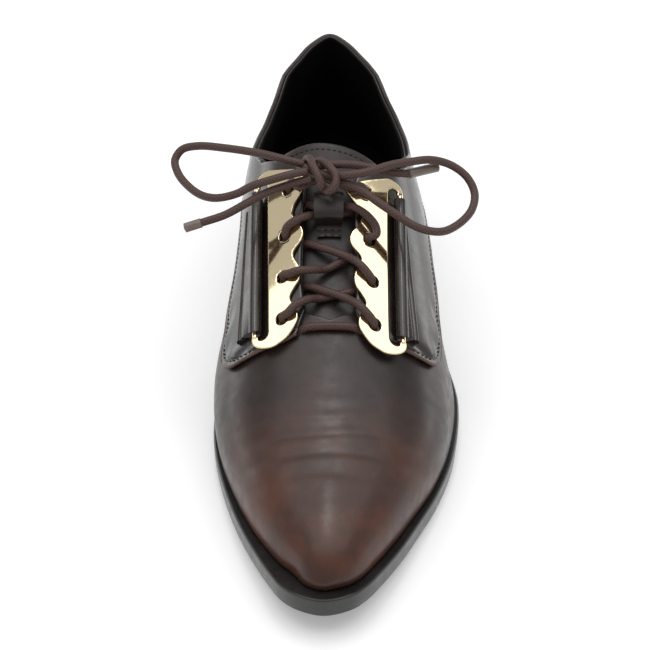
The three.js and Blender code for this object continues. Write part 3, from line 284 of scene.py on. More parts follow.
def sole_top(s):
    thick = WAIST_THICK + (SOLE_THICK - WAIST_THICK) * smooth(0.33 * LENGTH, 0.588 * LENGTH, s)
    return underside(s) + thick


def feather(s):
    return sole_top(s) + GAP


def ridge_rise(s):
    return share(RIDGE, "rise", s) * INSTEP_RISE


def midline(s):
    return share(MIDLINE, "x", s) * BALL_WIDTH


def along_curve(points, t, closed=False):
    """Points of a centripetal curve through the given points, at shares t of its stretches."""
    points = np.asarray(points, float)
    count = len(points)
    at = np.asarray(t, float) * (count if closed else count - 1)
    i = np.floor(at).astype(int)
    if not closed:
        i = np.minimum(i, count - 2)
    w = (at - i)[:, None]
    if closed:
        p = [points[(i + d) % count] for d in (-1, 0, 1, 2)]
    else:
        more = np.vstack([2 * points[0] - points[1], points, 2 * points[-1] - points[-2]])
        p = [more[i + d + 1] for d in (-1, 0, 1, 2)]
    d = [np.sqrt(np.linalg.norm(p[j + 1] - p[j], axis=1))[:, None] + 1e-9 for j in range(3)]
    a = (p[1] - p[0]) / d[0] - (p[2] - p[0]) / (d[0] + d[1]) + (p[2] - p[1]) / d[1]
    b = (p[2] - p[1]) / d[1] - (p[3] - p[1]) / (d[1] + d[2]) + (p[3] - p[2]) / d[2]
    a, b = a * d[1], b * d[1]
    c2 = -3 * p[1] + 3 * p[2] - 2 * a - b
    c3 = 2 * p[1] - 2 * p[2] + a + b
    return p[1] + a * w + c2 * w ** 2 + c3 * w ** 3


def sole_outline(steps):
    """Plan outline of the sole as rows of (s, x), medial side first."""
    half = [np.column_stack([np.array(OUTLINE["s"]) * LENGTH,
                             SIGN[side] * np.array(OUTLINE[NAMES[side]]) * BALL_WIDTH])
            for side in SIDES]
    heel = np.array([HEEL_TIP]) * (LENGTH, BALL_WIDTH)
    toe = np.array([TOE_TIP]) * (LENGTH, BALL_WIDTH)
    control = np.vstack([heel, half[MEDIAL], toe, half[LATERAL][::-1]])
    count = len(control) * steps
    return along_curve(control, np.arange(count) / count, closed=True)


def inset_outline(plan, distance):
    """Moves an outline inwards by a distance that may differ from point to point."""
    run = np.roll(plan, -1, axis=0) - np.roll(plan, 1, axis=0)
    run /= np.linalg.norm(run, axis=1)[:, None]
    inward = np.column_stack([-run[:, 1], run[:, 0]])
    return plan + inward * np.reshape(distance, (-1, 1))


def welt_at(plan):
    medial = plan[:, 1] < TOE_TIP[1] * BALL_WIDTH
    rows = [share(WELT_ROWS, name, plan[:, 0]) for name in NAMES]
    return WELT * np.where(medial, rows[MEDIAL], rows[LATERAL])


FAN_HEEL = 0.1176 * LENGTH
FAN_TOE = 0.838 * LENGTH


def station_at(s):
    return (np.asarray(s, float) - FAN_HEEL) / (FAN_TOE - FAN_HEEL)


def station_rays(k, side, plan):
    """Rays from the shoe's spine out to the feather edge: start, direction and reach."""
    k = np.asarray(k, float)
    turn = np.pi / 2 * np.where(k < 0, -k, np.maximum(k - 1, 0))
    s = np.clip(FAN_HEEL + (FAN_TOE - FAN_HEEL) * k, FAN_HEEL, FAN_TOE)
    x = midline(s)
    ds = np.sin(turn) * np.where(k < 0, -1, 1)
    dx = SIGN[side] * np.cos(turn)
    a, b = plan, np.roll(plan, -1, axis=0)
    es, ex = (b - a).T
    den = ds[:, None] * ex - dx[:, None] * es
    den = np.where(np.abs(den) < 1e-12, 1e-12, den)
    to_s = a[:, 0] - s[:, None]
    to_x = a[:, 1] - x[:, None]
    reach = (to_s * ex - to_x * es) / den
    place = (to_s * dx[:, None] - to_x * ds[:, None]) / den
    good = (reach > MM) & (place > -1e-6) & (place < 1 + 1e-6)
    return s, x, ds, dx, np.where(good, reach, np.inf).min(axis=1)


class Last:
    """The form that the leather lies on, as a fine grid of points for each side."""
    STEPS = 120  # stations in each third: heel fan, middle and toe fan
    GIRTH = 96  # points from the feather edge up to the ridge

    def __init__(self):
        plan = sole_outline(12)
        plan = inset_outline(plan, welt_at(plan))
        self.k = np.linspace(-1, 2, 3 * self.STEPS + 1)
        self.v = np.linspace(0, 1, self.GIRTH + 1)
        self.points = np.zeros((2, len(self.k), self.GIRTH + 1, 3))
        self.total = np.zeros((2, len(self.k)))
        for side in SIDES:
            s, x, ds, dx, reach = station_rays(self.k, side, plan)
            for i in range(len(self.k)):
                line = self.section(side, s[i], x[i], ds[i], dx[i], reach[i])
                steps = np.linalg.norm(np.diff(line, axis=0), axis=1)
                girth = np.concatenate([[0], np.cumsum(steps)])
                self.total[side, i] = girth[-1]
                for axis in range(3):
                    self.points[side, i, :, axis] = np.interp(self.v * girth[-1], girth, line[:, axis])
        grid = np.concatenate([self.points[::-1, 2:0:-1], self.points, self.points[::-1, -2:-4:-1]], axis=1)
        below = 2 * grid[:, :, :1] - grid[:, :, 1:2]
        above = grid[::-1, :, -2:-3:-1]
        self.grid = np.concatenate([below, grid, above], axis=2)

    @staticmethod
    def section(side, s0, x0, ds, dx, reach):
        n = share(SQUARENESS, "n", s0)
        angle = np.linspace(0, np.pi / 2, 161)
        q = np.cos(angle)
        q[-1] = 0
        q = q ** (2 / n)
        h = np.sin(angle) ** (2 / n)
        s = s0 + ds * q * reach
        up = ridge_rise(s) * h
        low = (up - BULGE_HEIGHT * INSTEP_RISE) / (BULGE_SPREAD * INSTEP_RISE)
        own = (1 + abs(dx)) / 2
        own_name, other_name = NAMES[side], NAMES[1 - side]

        def mixed(rows):
            return mix(share(rows, other_name, s), share(rows, own_name, s), own)
        bulge = mixed(FEATHER_BULGE) * np.exp(-low * low) * (1 - np.exp(-up / (4 * MM))) * (1 - h ** 6)
        bulge = bulge + mixed(WALL_BULGE) * 4 * h * (1 - h)
        out = q * reach + bulge * BALL_WIDTH
        rear = np.maximum((FAN_HEEL - s) / FAN_HEEL, 0) ** 3
        swell = np.sin(np.pi * np.minimum(up / (0.5 * INSTEP_RISE), 1))
        swell = swell + 0.5 * smooth(0.224 * INSTEP_RISE, 0.745 * INSTEP_RISE, up)
        y = ORIGIN_S - (s0 + ds * out - rear * swell * BACK_CURVE * BALL_WIDTH)
        return np.column_stack([x0 + dx * out, y, feather(s) + up])

    def at(self, k, side, v):
        """Points at stations k and shares v of the girth, along smooth curves through the grid."""
        k, side, v = np.broadcast_arrays(np.asarray(k, float), side, np.asarray(v, float))
        gk = (np.clip(k, -1, 2) + 1) * self.STEPS
        gv = np.clip(v, 0, 1) * self.GIRTH
        ik = np.clip(np.floor(gk).astype(int), 0, len(self.k) - 2)
        iv = np.clip(np.floor(gv).astype(int), 0, self.GIRTH - 1)

        def weights(t):
            return (-0.5 * t ** 3 + t ** 2 - 0.5 * t, 1.5 * t ** 3 - 2.5 * t ** 2 + 1,
                    -1.5 * t ** 3 + 2 * t ** 2 + 0.5 * t, 0.5 * t ** 3 - 0.5 * t ** 2)
        wk, wv = weights(gk - ik), weights(gv - iv)
        made = 0
        for a in range(4):
            for b in range(4):
                made = made + (wk[a] * wv[b])[..., None] * self.grid[side, ik + a + 1, iv + b]
        return made

    def girth(self, k, side):
        k, side = np.broadcast_arrays(np.asarray(k, float), side)
        both = [np.interp(k, self.k, self.total[each]) for each in SIDES]
        return np.where(side == MEDIAL, both[MEDIAL], both[LATERAL])

    def share_where(self, k, side, measure):
        """Share of the girth where a measure of the points turns from negative to positive."""
        k = np.atleast_1d(np.asarray(k, float))
        value = measure(self.at(k[:, None], side, self.v[None, :]))
        found = value >= 0
        found[:, 0] = False
        j = np.where(found.any(axis=1), found.argmax(axis=1), self.GIRTH)
        rows = np.arange(len(k))
        a, b = value[rows, j - 1], value[rows, j]
        step = np.where(b - a == 0, 1, a / np.where(a - b == 0, 1, a - b))
        return np.where(found.any(axis=1), self.v[j - 1] + (self.v[j] - self.v[j - 1]) * step, 1.0)


LAST = Last()


def s_of(p):
    return ORIGIN_S - p[..., 1]


def share_at_rise(k, side, rise):
    return LAST.share_where(k, side, lambda p: p[..., 2] - feather(s_of(p)) - rise(s_of(p)))


def share_at_spread(k, side, spread):
    return LAST.share_where(k, side, lambda p: spread - SIGN[side] * (p[..., 0] - midline(s_of(p))))


def on_last(s, t, off):
    """Point at s from the heel and a signed girth t from the ridge, raised by off."""
    s, t, off = np.broadcast_arrays(np.asarray(s, float), np.asarray(t, float), np.asarray(off, float))

    def at(ds, dt):
        side = np.where(t + dt < 0, MEDIAL, LATERAL)
        k = station_at(s + ds)
        return LAST.at(k, side, 1 - np.abs(t + dt) / LAST.girth(k, side))
    along = at(MM, 0) - at(-MM, 0)
    across = at(0, MM) - at(0, -MM)
    normal = np.cross(across, along)
    normal /= np.linalg.norm(normal, axis=-1)[..., None]
    return at(0, 0) - normal * off[..., None]


COLLAR_FRONT = COLLAR["s"][-1] * LENGTH
THROAT_FRONT = THROAT["s"][-1] * LENGTH
CORNER_BLEND = 4 * MM


def top_share(k, side):
    """Top edge of the upper's shell: the collar, then the throat, then the ridge."""
    k = np.atleast_1d(np.asarray(k, float))
    s = FAN_HEEL + (FAN_TOE - FAN_HEEL) * k
    collar = share_at_rise(k, side, lambda at: share(COLLAR, "rise", at) * COLLAR_RISE)
    edge = 1 - share(THROAT, NAMES[side], s) * THROAT_HALF / LAST.girth(k, side)
    made = mix(collar, edge, smooth(COLLAR_FRONT, COLLAR_FRONT + CORNER_BLEND, s))
    made = np.where(s <= COLLAR_FRONT, collar, made)
    return np.where(s >= THROAT_FRONT, 1.0, made)


def stations_of(rows):
    """Stations of a quarter table, whose first rows lie in the heel's fan."""
    return [REAR_STATIONS[i] if s is None else float(station_at(s * LENGTH))
            for i, s in enumerate(rows["s"])]


def quarter_low(u, side):
    name = NAMES[side]
    front = QUARTER_FLAP["u"][0]
    flap_k = station_at(look_up(QUARTER_FLAP, "u", "s", u) * LENGTH)
    flap_v = look_up(QUARTER_FLAP, "u", name, u)
    first_k = float(station_at(QUARTER_FLAP["s"][0] * LENGTH))
    rows = {"u": QUARTER_REAR["u"] + [front], "k": stations_of(QUARTER_REAR) + [first_k],
            "rise": QUARTER_REAR[name] + [QUARTER_REAR[name][-1]]}
    k = look_up(rows, "u", "k", u)
    made_v = np.array(flap_v, float)
    for i in np.nonzero(u < front)[0]:
        rise = look_up(rows, "u", "rise", u[i]) * COLLAR_RISE
        v = share_at_rise(k[i], side, lambda at: rise)[0]
        blend = smooth(QUARTER_REAR["u"][-1], front, u[i])
        made_v[i] = mix(v, look_up(QUARTER_FLAP, "u", name, u[i]), blend)
    return np.where(u < front, k, flap_k), made_v


def quarter_top(u, side):
    rows = {"u": QUARTER_TOP["u"], "k": stations_of(QUARTER_TOP)}
    k = look_up(rows, "u", "k", u)
    return k, top_share(k, side)


class Facing:
    """Flat facing of one side: a down the plate, v towards the tongue, w outwards."""
    def __init__(self, side):
        self.a = np.linspace(-8 * MM, PLATE_LENGTH + 8 * MM, 176)
        s = PLATE_TOP[side] + self.a

        def at(station, spread):
            k = station_at(station)
            below = (1 - share_at_spread(k, side, spread)) * LAST.girth(k, side)
            return on_last(station, SIGN[side] * below, FACING_OFF)
        self.edge = at(s, PLATE_SPREAD[side])
        across = at(s, PLATE_LEAN) - self.edge
        across /= np.linalg.norm(across, axis=1)[:, None]
        down = at(s + 4 * MM, PLATE_SPREAD[side]) - at(s - 4 * MM, PLATE_SPREAD[side])
        out = np.cross(across, down)
        out /= np.linalg.norm(out, axis=1)[:, None]
        self.across = across
        self.out = out * np.sign(out[:, 2])[:, None]

    def at(self, a, v, w):
        a, v, w = np.broadcast_arrays(np.asarray(a, float), np.asarray(v, float), np.asarray(w, float))

        def read(rows):
            return np.stack([np.interp(a, self.a, rows[:, axis]) for axis in range(3)], axis=-1)
        height = (w + PLATE_SEAT)[..., None]
        return read(self.edge) + read(self.across) * v[..., None] + read(self.out) * height


FACINGS = [Facing(side) for side in SIDES]


def grid_faces(columns, rows, flip=False):
    i, j = np.meshgrid(np.arange(columns - 1), np.arange(rows - 1), indexing="ij")
    a = (i * rows + j).ravel()
    quads = np.column_stack([a, a + rows, a + rows + 1, a + 1])
    return quads[:, ::-1] if flip else quads


def weld(points, faces, near=0.004 * MM):
    """Merges points that coincide and drops the faces that shrink away."""
    _, first, place = np.unique(np.round(points / near).astype(np.int64), axis=0,
                                return_index=True, return_inverse=True)
    place = place.ravel()
    made = []
    for face in faces:
        corners = []
        for corner in place[list(face)]:
            if corner not in corners:
                corners.append(int(corner))
        if len(corners) > 2:
            made.append(corners)
    return points[first], made, place


def normals_of(points, faces):
    total = np.zeros_like(points)
    for face in faces:
        p = points[face]
        n = np.cross(p[1] - p[0], p[2] - p[0])
        if len(face) == 4:
            n = n + np.cross(p[2] - p[0], p[3] - p[0])
        total[face] += n
    return total / np.maximum(np.linalg.norm(total, axis=1), 1e-12)[:, None]


def thicken(points, faces, low, high, rim_steps=4, relief=None, floor=None):
    """Closed leather body from an open surface: from low to high along its normals, round edges."""
    points, faces, place = weld(points, [list(face) for face in faces])
    normals = normals_of(points, faces)
    low = np.broadcast_to(np.asarray(low, float), place.shape)
    high = np.broadcast_to(np.asarray(high, float), place.shape)
    lows, highs = np.zeros(len(points)), np.zeros(len(points))
    lows[place], highs[place] = low, high
    if relief is not None:
        extra = np.zeros(len(points))
        extra[place] = relief
        highs = highs + extra
    count = len(points)
    outer = points + normals * highs[:, None]
    inner = points + normals * lows[:, None]
    edges = {}
    for face in faces:
        for a, b in zip(face, face[1:] + face[:1]):
            edges[(a, b)] = True
    border = {a: b for a, b in edges if (b, a) not in edges}
    made = [outer, inner]
    body = list(faces) + [[c + count for c in reversed(face)] for face in faces]
    total = 2 * count
    while border:
        start = next(iter(border))
        loop = [start]
        step = border.pop(start)
        while step != start:
            loop.append(step)
            step = border.pop(step)
        loop = np.array(loop)
        run = points[np.roll(loop, -1)] - points[np.roll(loop, 1)]
        away = np.cross(run, normals[loop])
        away /= np.maximum(np.linalg.norm(away, axis=1), 1e-12)[:, None]
        radius = (highs[loop] - lows[loop]) / 2
        rings = [loop]
        for step in range(1, rim_steps):
            angle = np.pi * step / rim_steps
            height = (highs[loop] + lows[loop]) / 2 + radius * np.cos(angle)
            out = np.sin(angle) * np.minimum(radius, EDGE_ROUND)
            made.append(points[loop] + normals[loop] * height[:, None] + away * out[:, None])
            rings.append(np.arange(total, total + len(loop)))
            total += len(loop)
        rings.append(loop + count)
        for a, b in zip(rings, rings[1:]):
            for i in range(len(loop)):
                j = (i + 1) % len(loop)
                body.append([int(a[j]), int(a[i]), int(b[i]), int(b[j])])
    made = np.vstack(made)
    if floor is not None:
        made[:, 2] = np.maximum(made[:, 2], floor(ORIGIN_S - made[:, 1]))
    return made, body


def make(name, points, faces, material, smooth_shade=True):
    """A mesh object at the origin, its faces turned outwards."""
    mesh = bpy.data.meshes.new(name)
    mesh.from_pydata([tuple(p) for p in points], [], [tuple(f) for f in faces])
    b = bmesh.new()
    b.from_mesh(mesh)
    bmesh.ops.recalc_face_normals(b, faces=b.faces)
    b.to_mesh(mesh)
    b.free()
    mesh.materials.append(material)
    if smooth_shade:
        mesh.shade_smooth()
    made = bpy.data.objects.new(name, mesh)
    bpy.context.scene.collection.objects.link(made)
    return made


def keep(piece, slot, *nodes):
    """Rides the piece on the shoe, in the place of its solids."""
    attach(piece, "root")
    if nodes:
        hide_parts(*nodes)
    return piece


def sweep_tube(points, radius, sides=16, caps=True, step=0.5 * MM):
    """Round tube along a curve through the points, with its length and turn as a UV map."""
    rough = along_curve(points, np.linspace(0, 1, 12 * len(points)))
    run = np.concatenate([[0], np.cumsum(np.linalg.norm(np.diff(rough, axis=0), axis=1))])
    count = max(int(run[-1] / step), 4)
    marks = np.linspace(0, run[-1], count + 1)
    path = np.stack([np.interp(marks, run, rough[:, axis]) for axis in range(3)], axis=1)
    tangent = np.gradient(path, axis=0)
    tangent /= np.linalg.norm(tangent, axis=1)[:, None]
    side = np.cross(tangent[0], (0, 0, 1) if abs(tangent[0][2]) < 0.9 else (1, 0, 0))
    rings = []
    radius = np.broadcast_to(radius, marks.shape) if np.ndim(radius) < 2 else radius
    angle = 2 * np.pi * np.arange(sides) / sides
    for i, p in enumerate(path):
        side = side - tangent[i] * np.dot(side, tangent[i])
        side /= np.linalg.norm(side)
        up = np.cross(tangent[i], side)
        ring = np.outer(np.cos(angle), side) + np.outer(np.sin(angle), up)
        rings.append(p + ring * radius[i])
    points_made = np.vstack(rings)
    faces, uvs = [], []
    for i in range(count):
        for j in range(sides):
            n = (j + 1) % sides
            a = i * sides
            faces.append([a + j, a + n, a + sides + n, a + sides + j])
            uvs.append([(j / sides, marks[i]), ((j + 1) / sides, marks[i]),
                        ((j + 1) / sides, marks[i + 1]), (j / sides, marks[i + 1])])
    if caps:
        for base, spot, out in ((0, path[0], -tangent[0]), (count * sides, path[-1], tangent[-1])):
            tip = len(points_made)
            points_made = np.vstack([points_made, spot + out * 0.25 * radius[0 if base == 0 else -1]])
            for j in range(sides):
                n = (j + 1) % sides
                face = [base + n, base + j, tip] if base == 0 else [base + j, base + n, tip]
                faces.append(face)
                uvs.append([(0, marks[0 if base == 0 else -1])] * 3)
    return points_made, faces, uvs, path


def make_tube(name, points, radius, material, sides=16, step=0.5 * MM):
    made, faces, uvs, path = sweep_tube(points, radius, sides, True, step)
    mesh = bpy.data.meshes.new(name)
    mesh.from_pydata([tuple(p) for p in made], [], [tuple(f) for f in faces])
    layer = mesh.uv_layers.new(name="run")
    flat = [uv for face in uvs for uv in face]
    layer.data.foreach_set("uv", np.array(flat, float).ravel())
    mesh.materials.append(material)
    mesh.shade_smooth()
    piece = bpy.data.objects.new(name, mesh)
    bpy.context.scene.collection.objects.link(piece)
    return piece, path


def joined(name, pieces):
    """Joins mesh pieces into one object, keeping their UV maps."""
    bpy.ops.object.select_all(action="DESELECT")
    for piece in pieces:
        piece.select_set(True)
    bpy.context.view_layer.objects.active = pieces[0]
    bpy.ops.object.join()
    pieces[0].name = name
    return pieces[0]


# Shader node groups and materials


class Nodes:
    """Short hand for building a node tree."""
    def __init__(self, tree):
        self.tree = tree

    def add(self, kind, **values):
        node = self.tree.nodes.new(kind)
        for name, value in values.items():
            if name in node.inputs:
                node.inputs[name].default_value = value
            else:
                setattr(node, name, value)
        return node

    def link(self, source, target):
        self.tree.links.new(source, target)

    def math(self, operation, a, b=None, clamp=False):
        node = self.add("ShaderNodeMath", operation=operation, use_clamp=clamp)
        for i, value in enumerate((a, b)):
            if value is None:
                continue
            if isinstance(value, (int, float)):
                node.inputs[i].default_value = value
            else:
                self.link(value, node.inputs[i])
        return node.outputs[0]

    def spread(self, value, low, high, to_low=0.0, to_high=1.0):
        node = self.add("ShaderNodeMapRange", interpolation_type="SMOOTHSTEP")
        self.link(value, node.inputs["Value"])
        for name, number in (("From Min", low), ("From Max", high), ("To Min", to_low), ("To Max", to_high)):
            node.inputs[name].default_value = number
        return node.outputs["Result"]

    def mix(self, factor, a, b):
        node = self.add("ShaderNodeMix", data_type="RGBA")
        if isinstance(factor, (int, float)):
            node.inputs["Factor"].default_value = factor
        else:
            self.link(factor, node.inputs["Factor"])
        for name, value in (("A", a), ("B", b)):
            socket = [i for i in node.inputs if i.name == name and i.type == "RGBA"][0]
            if isinstance(value, (tuple, list)):
                socket.default_value = (*value[:3], 1)
            else:
                self.link(value, socket)
        return [o for o in node.outputs if o.type == "RGBA"][0]


def new_group(name, inputs, outputs):
    tree = bpy.data.node_groups.new(name, "ShaderNodeTree")
    for socket, kind, default in inputs:
        made = tree.interface.new_socket(name=socket, in_out="INPUT", socket_type=kind)
        if default is not None:
            made.default_value = default
    for socket, kind in outputs:
        tree.interface.new_socket(name=socket, in_out="OUTPUT", socket_type=kind)
    nodes = Nodes(tree)
    return nodes, nodes.add("NodeGroupInput"), nodes.add("NodeGroupOutput")


def grain_group():
    """Fine pebbled leather grain: its height, and how the colour and gloss wander."""
    n, inside, out = new_group(
        "leather_grain",
        [("Scale", "NodeSocketFloat", 900.0), ("Wander", "NodeSocketFloat", 30.0)],
        [("Height", "NodeSocketFloat"), ("Mottle", "NodeSocketFloat"), ("Haze", "NodeSocketFloat")])
    place = n.add("ShaderNodeTexCoord").outputs["Object"]
    pebble = n.add("ShaderNodeTexVoronoi", feature="SMOOTH_F1", Smoothness=0.6)
    fine = n.add("ShaderNodeTexNoise", Detail=4.0, Roughness=0.6)
    cloud = n.add("ShaderNodeTexNoise", Detail=5.0, Roughness=0.62)
    haze = n.add("ShaderNodeTexNoise", Detail=3.0, Roughness=0.5)
    for node in (pebble, fine, cloud, haze):
        n.link(place, node.inputs["Vector"])
    n.link(inside.outputs["Scale"], pebble.inputs["Scale"])
    n.link(n.math("MULTIPLY", inside.outputs["Scale"], 1.7), fine.inputs["Scale"])
    n.link(inside.outputs["Wander"], cloud.inputs["Scale"])
    n.link(n.math("MULTIPLY", inside.outputs["Wander"], 5.0), haze.inputs["Scale"])
    height = n.math("ADD", n.math("MULTIPLY", pebble.outputs["Distance"], 0.7),
                    n.math("MULTIPLY", fine.outputs[0], 0.5))
    n.link(height, out.inputs["Height"])
    n.link(cloud.outputs[0], out.inputs["Mottle"])
    n.link(haze.outputs[0], out.inputs["Haze"])
    return n.tree


def dust_group():
    """Specks and rubbed spots that dull a polished surface a little."""
    n, inside, out = new_group(
        "rubbed_spots",
        [("Scale", "NodeSocketFloat", 120.0), ("Amount", "NodeSocketFloat", 0.3)],
        [("Mask", "NodeSocketFloat")])
    place = n.add("ShaderNodeTexCoord").outputs["Object"]
    noise = n.add("ShaderNodeTexNoise", Detail=8.0, Roughness=0.7)
    n.link(place, noise.inputs["Vector"])
    n.link(inside.outputs["Scale"], noise.inputs["Scale"])
    spots = n.spread(noise.outputs[0], 0.5, 0.75)
    n.link(n.math("MULTIPLY", spots, inside.outputs["Amount"]), out.inputs["Mask"])
    return n.tree


def stitch_tree():
    """Rows of stitches: each line is cut at an even pitch, and a slim thread lies at each cut."""
    tree = bpy.data.node_groups.new("stitch_rows", "GeometryNodeTree")
    for socket, kind, default in (
        ("Rows", "NodeSocketGeometry", None), ("Pitch", "NodeSocketFloat", 2.6 * MM),
        ("Length", "NodeSocketFloat", 1.8 * MM), ("Thread", "NodeSocketFloat", 0.22 * MM),
        ("Seed", "NodeSocketInt", 7), ("Finish", "NodeSocketMaterial", None),
    ):
        made = tree.interface.new_socket(name=socket, in_out="INPUT", socket_type=kind)
        if default is not None:
            made.default_value = default
    tree.interface.new_socket(name="Stitches", in_out="OUTPUT", socket_type="NodeSocketGeometry")
    n = Nodes(tree)
    inside, out = n.add("NodeGroupInput"), n.add("NodeGroupOutput")
    rows = n.add("GeometryNodeMeshToCurve")
    cuts = n.add("GeometryNodeResampleCurve", mode="LENGTH")
    thread = n.add("GeometryNodeMeshUVSphere", Segments=8, Rings=6, Radius=1.0)
    put = n.add("GeometryNodeInstanceOnPoints")
    turn = n.add("FunctionNodeAlignRotationToVector", axis="Z")
    vary = n.add("FunctionNodeRandomValue", data_type="FLOAT")
    vary.inputs[2].default_value, vary.inputs[3].default_value = STITCH_VARY
    size = n.add("ShaderNodeCombineXYZ")
    real = n.add("GeometryNodeRealizeInstances")
    finish = n.add("GeometryNodeSetMaterial")
    n.link(inside.outputs["Rows"], rows.inputs["Mesh"])
    n.link(rows.outputs["Curve"], cuts.inputs["Curve"])
    n.link(inside.outputs["Pitch"], cuts.inputs["Length"])
    n.link(cuts.outputs["Curve"], put.inputs["Points"])
    n.link(thread.outputs["Mesh"], put.inputs["Instance"])
    n.link(n.add("GeometryNodeInputTangent").outputs[0], turn.inputs["Vector"])
    n.link(turn.outputs["Rotation"], put.inputs["Rotation"])
    n.link(inside.outputs["Seed"], vary.inputs["Seed"])
    for axis in "XY":
        n.link(inside.outputs["Thread"], size.inputs[axis])
    n.link(n.math("MULTIPLY", inside.outputs["Length"], vary.outputs[1]), size.inputs["Z"])
    n.link(size.outputs[0], put.inputs["Scale"])
    n.link(put.outputs["Instances"], real.inputs["Geometry"])
    n.link(real.outputs["Geometry"], finish.inputs["Geometry"])
    n.link(inside.outputs["Finish"], finish.inputs["Material"])
    n.link(finish.outputs["Geometry"], out.inputs["Stitches"])
    return tree


def sew(name, lines, slot, node):
    """Lays rows of stitches along lines of points."""
    pitch = bpy.context.scene.shoe_sizes.stitch_pitch
    points, edges = [], []
    for line in lines:
        start = len(points)
        points += [tuple(p) for p in line]
        edges += [(i, i + 1) for i in range(start, len(points) - 1)]
    mesh = bpy.data.meshes.new(name)
    mesh.from_pydata(points, edges, [])
    rows = bpy.data.objects.new(name, mesh)
    bpy.context.scene.collection.objects.link(rows)
    sewn = rows.modifiers.new("stitches", "NODES")
    sewn.node_group = GROUPS["stitches"]
    sockets = {item.name: item.identifier for item in GROUPS["stitches"].interface.items_tree
               if item.in_out == "INPUT"}
    for key, value in (("Pitch", pitch), ("Length", pitch * STITCH_SHARE), ("Thread", THREAD_RADIUS),
                       ("Seed", STITCH_SEED), ("Finish", FINISH["thread"])):
        sewn[sockets[key]] = value
    bpy.context.view_layer.update()
    done = bpy.data.meshes.new_from_object(rows.evaluated_get(bpy.context.evaluated_depsgraph_get()))
    rows.modifiers.clear()
    rows.data = done
    done.shade_smooth()
    if not done.materials:
        done.materials.append(FINISH["thread"])
    if not done.polygons:
        raise RuntimeError("no stitches in " + name)
    keep(rows, slot, node)


def new_material(name):
    material = bpy.data.materials.new(name)
    material.use_nodes = True
    material.node_tree.nodes.clear()
    n = Nodes(material.node_tree)
    shader = n.add("ShaderNodeBsdfPrincipled")
    out = n.add("ShaderNodeOutputMaterial")
    n.link(shader.outputs[0], out.inputs["Surface"])
    return material, n, shader


def use_group(n, tree, **values):
    node = n.add("ShaderNodeGroup")
    node.node_tree = tree
    for name, value in values.items():
        node.inputs[name].default_value = value
    return node


def leather(name, dark, light, toe=None, rough=0.36, bump=0.1, coat=0.1):
    """Burnished leather, darker towards the instep, with cloudy patches towards the toe."""
    material, n, shader = new_material(name)
    grain = use_group(n, GROUPS["grain"], Wander=42.0)
    spots = use_group(n, GROUPS["dust"], Scale=150.0, Amount=0.25)
    colour = n.mix(n.spread(grain.outputs["Mottle"], 0.35, 0.65), dark, light)
    if toe is not None:
        place = n.add("ShaderNodeSeparateXYZ")
        n.link(n.add("ShaderNodeTexCoord").outputs["Object"], place.inputs[0])
        forward = n.spread(place.outputs["Y"], -0.150, -0.212, 0.0, 1.0)
        patch = n.spread(grain.outputs["Mottle"], 0.40, 0.60)
        amount = n.math("MULTIPLY", forward, n.math("ADD", n.math("MULTIPLY", patch, 0.5), 0.5), clamp=True)
        colour = n.mix(amount, colour, toe)
    colour = n.mix(n.math("MULTIPLY", spots.outputs["Mask"], 0.4), colour, tuple(c * 1.3 for c in light))
    n.link(colour, shader.inputs["Base Color"])
    gloss = n.spread(grain.outputs["Haze"], 0.3, 0.7, rough - 0.05, rough + 0.07)
    n.link(gloss, shader.inputs["Roughness"])
    relief = n.add("ShaderNodeBump", Strength=bump, Distance=0.25 * MM)
    n.link(grain.outputs["Height"], relief.inputs["Height"])
    n.link(relief.outputs[0], shader.inputs["Normal"])
    shader.inputs["Coat Weight"].default_value = coat
    shader.inputs["Coat Roughness"].default_value = 0.22
    shader.inputs["IOR"].default_value = 1.45
    return material


def polished_gold():
    material, n, shader = new_material("gold_plate")
    spots = use_group(n, GROUPS["dust"], Scale=260.0, Amount=0.3)
    colour = n.mix(spots.outputs["Mask"], (0.95, 0.80, 0.52), (0.88, 0.72, 0.46))
    n.link(colour, shader.inputs["Base Color"])
    n.link(n.spread(spots.outputs["Mask"], 0.0, 0.3, 0.07, 0.16), shader.inputs["Roughness"])
    shader.inputs["Metallic"].default_value = 1.0
    brush = n.add("ShaderNodeTexNoise", Scale=700.0, Detail=3.0)
    n.link(n.add("ShaderNodeTexCoord").outputs["Object"], brush.inputs["Vector"])
    relief = n.add("ShaderNodeBump", Strength=0.015, Distance=0.1 * MM)
    n.link(brush.outputs[0], relief.inputs["Height"])
    n.link(relief.outputs[0], shader.inputs["Normal"])
    return material


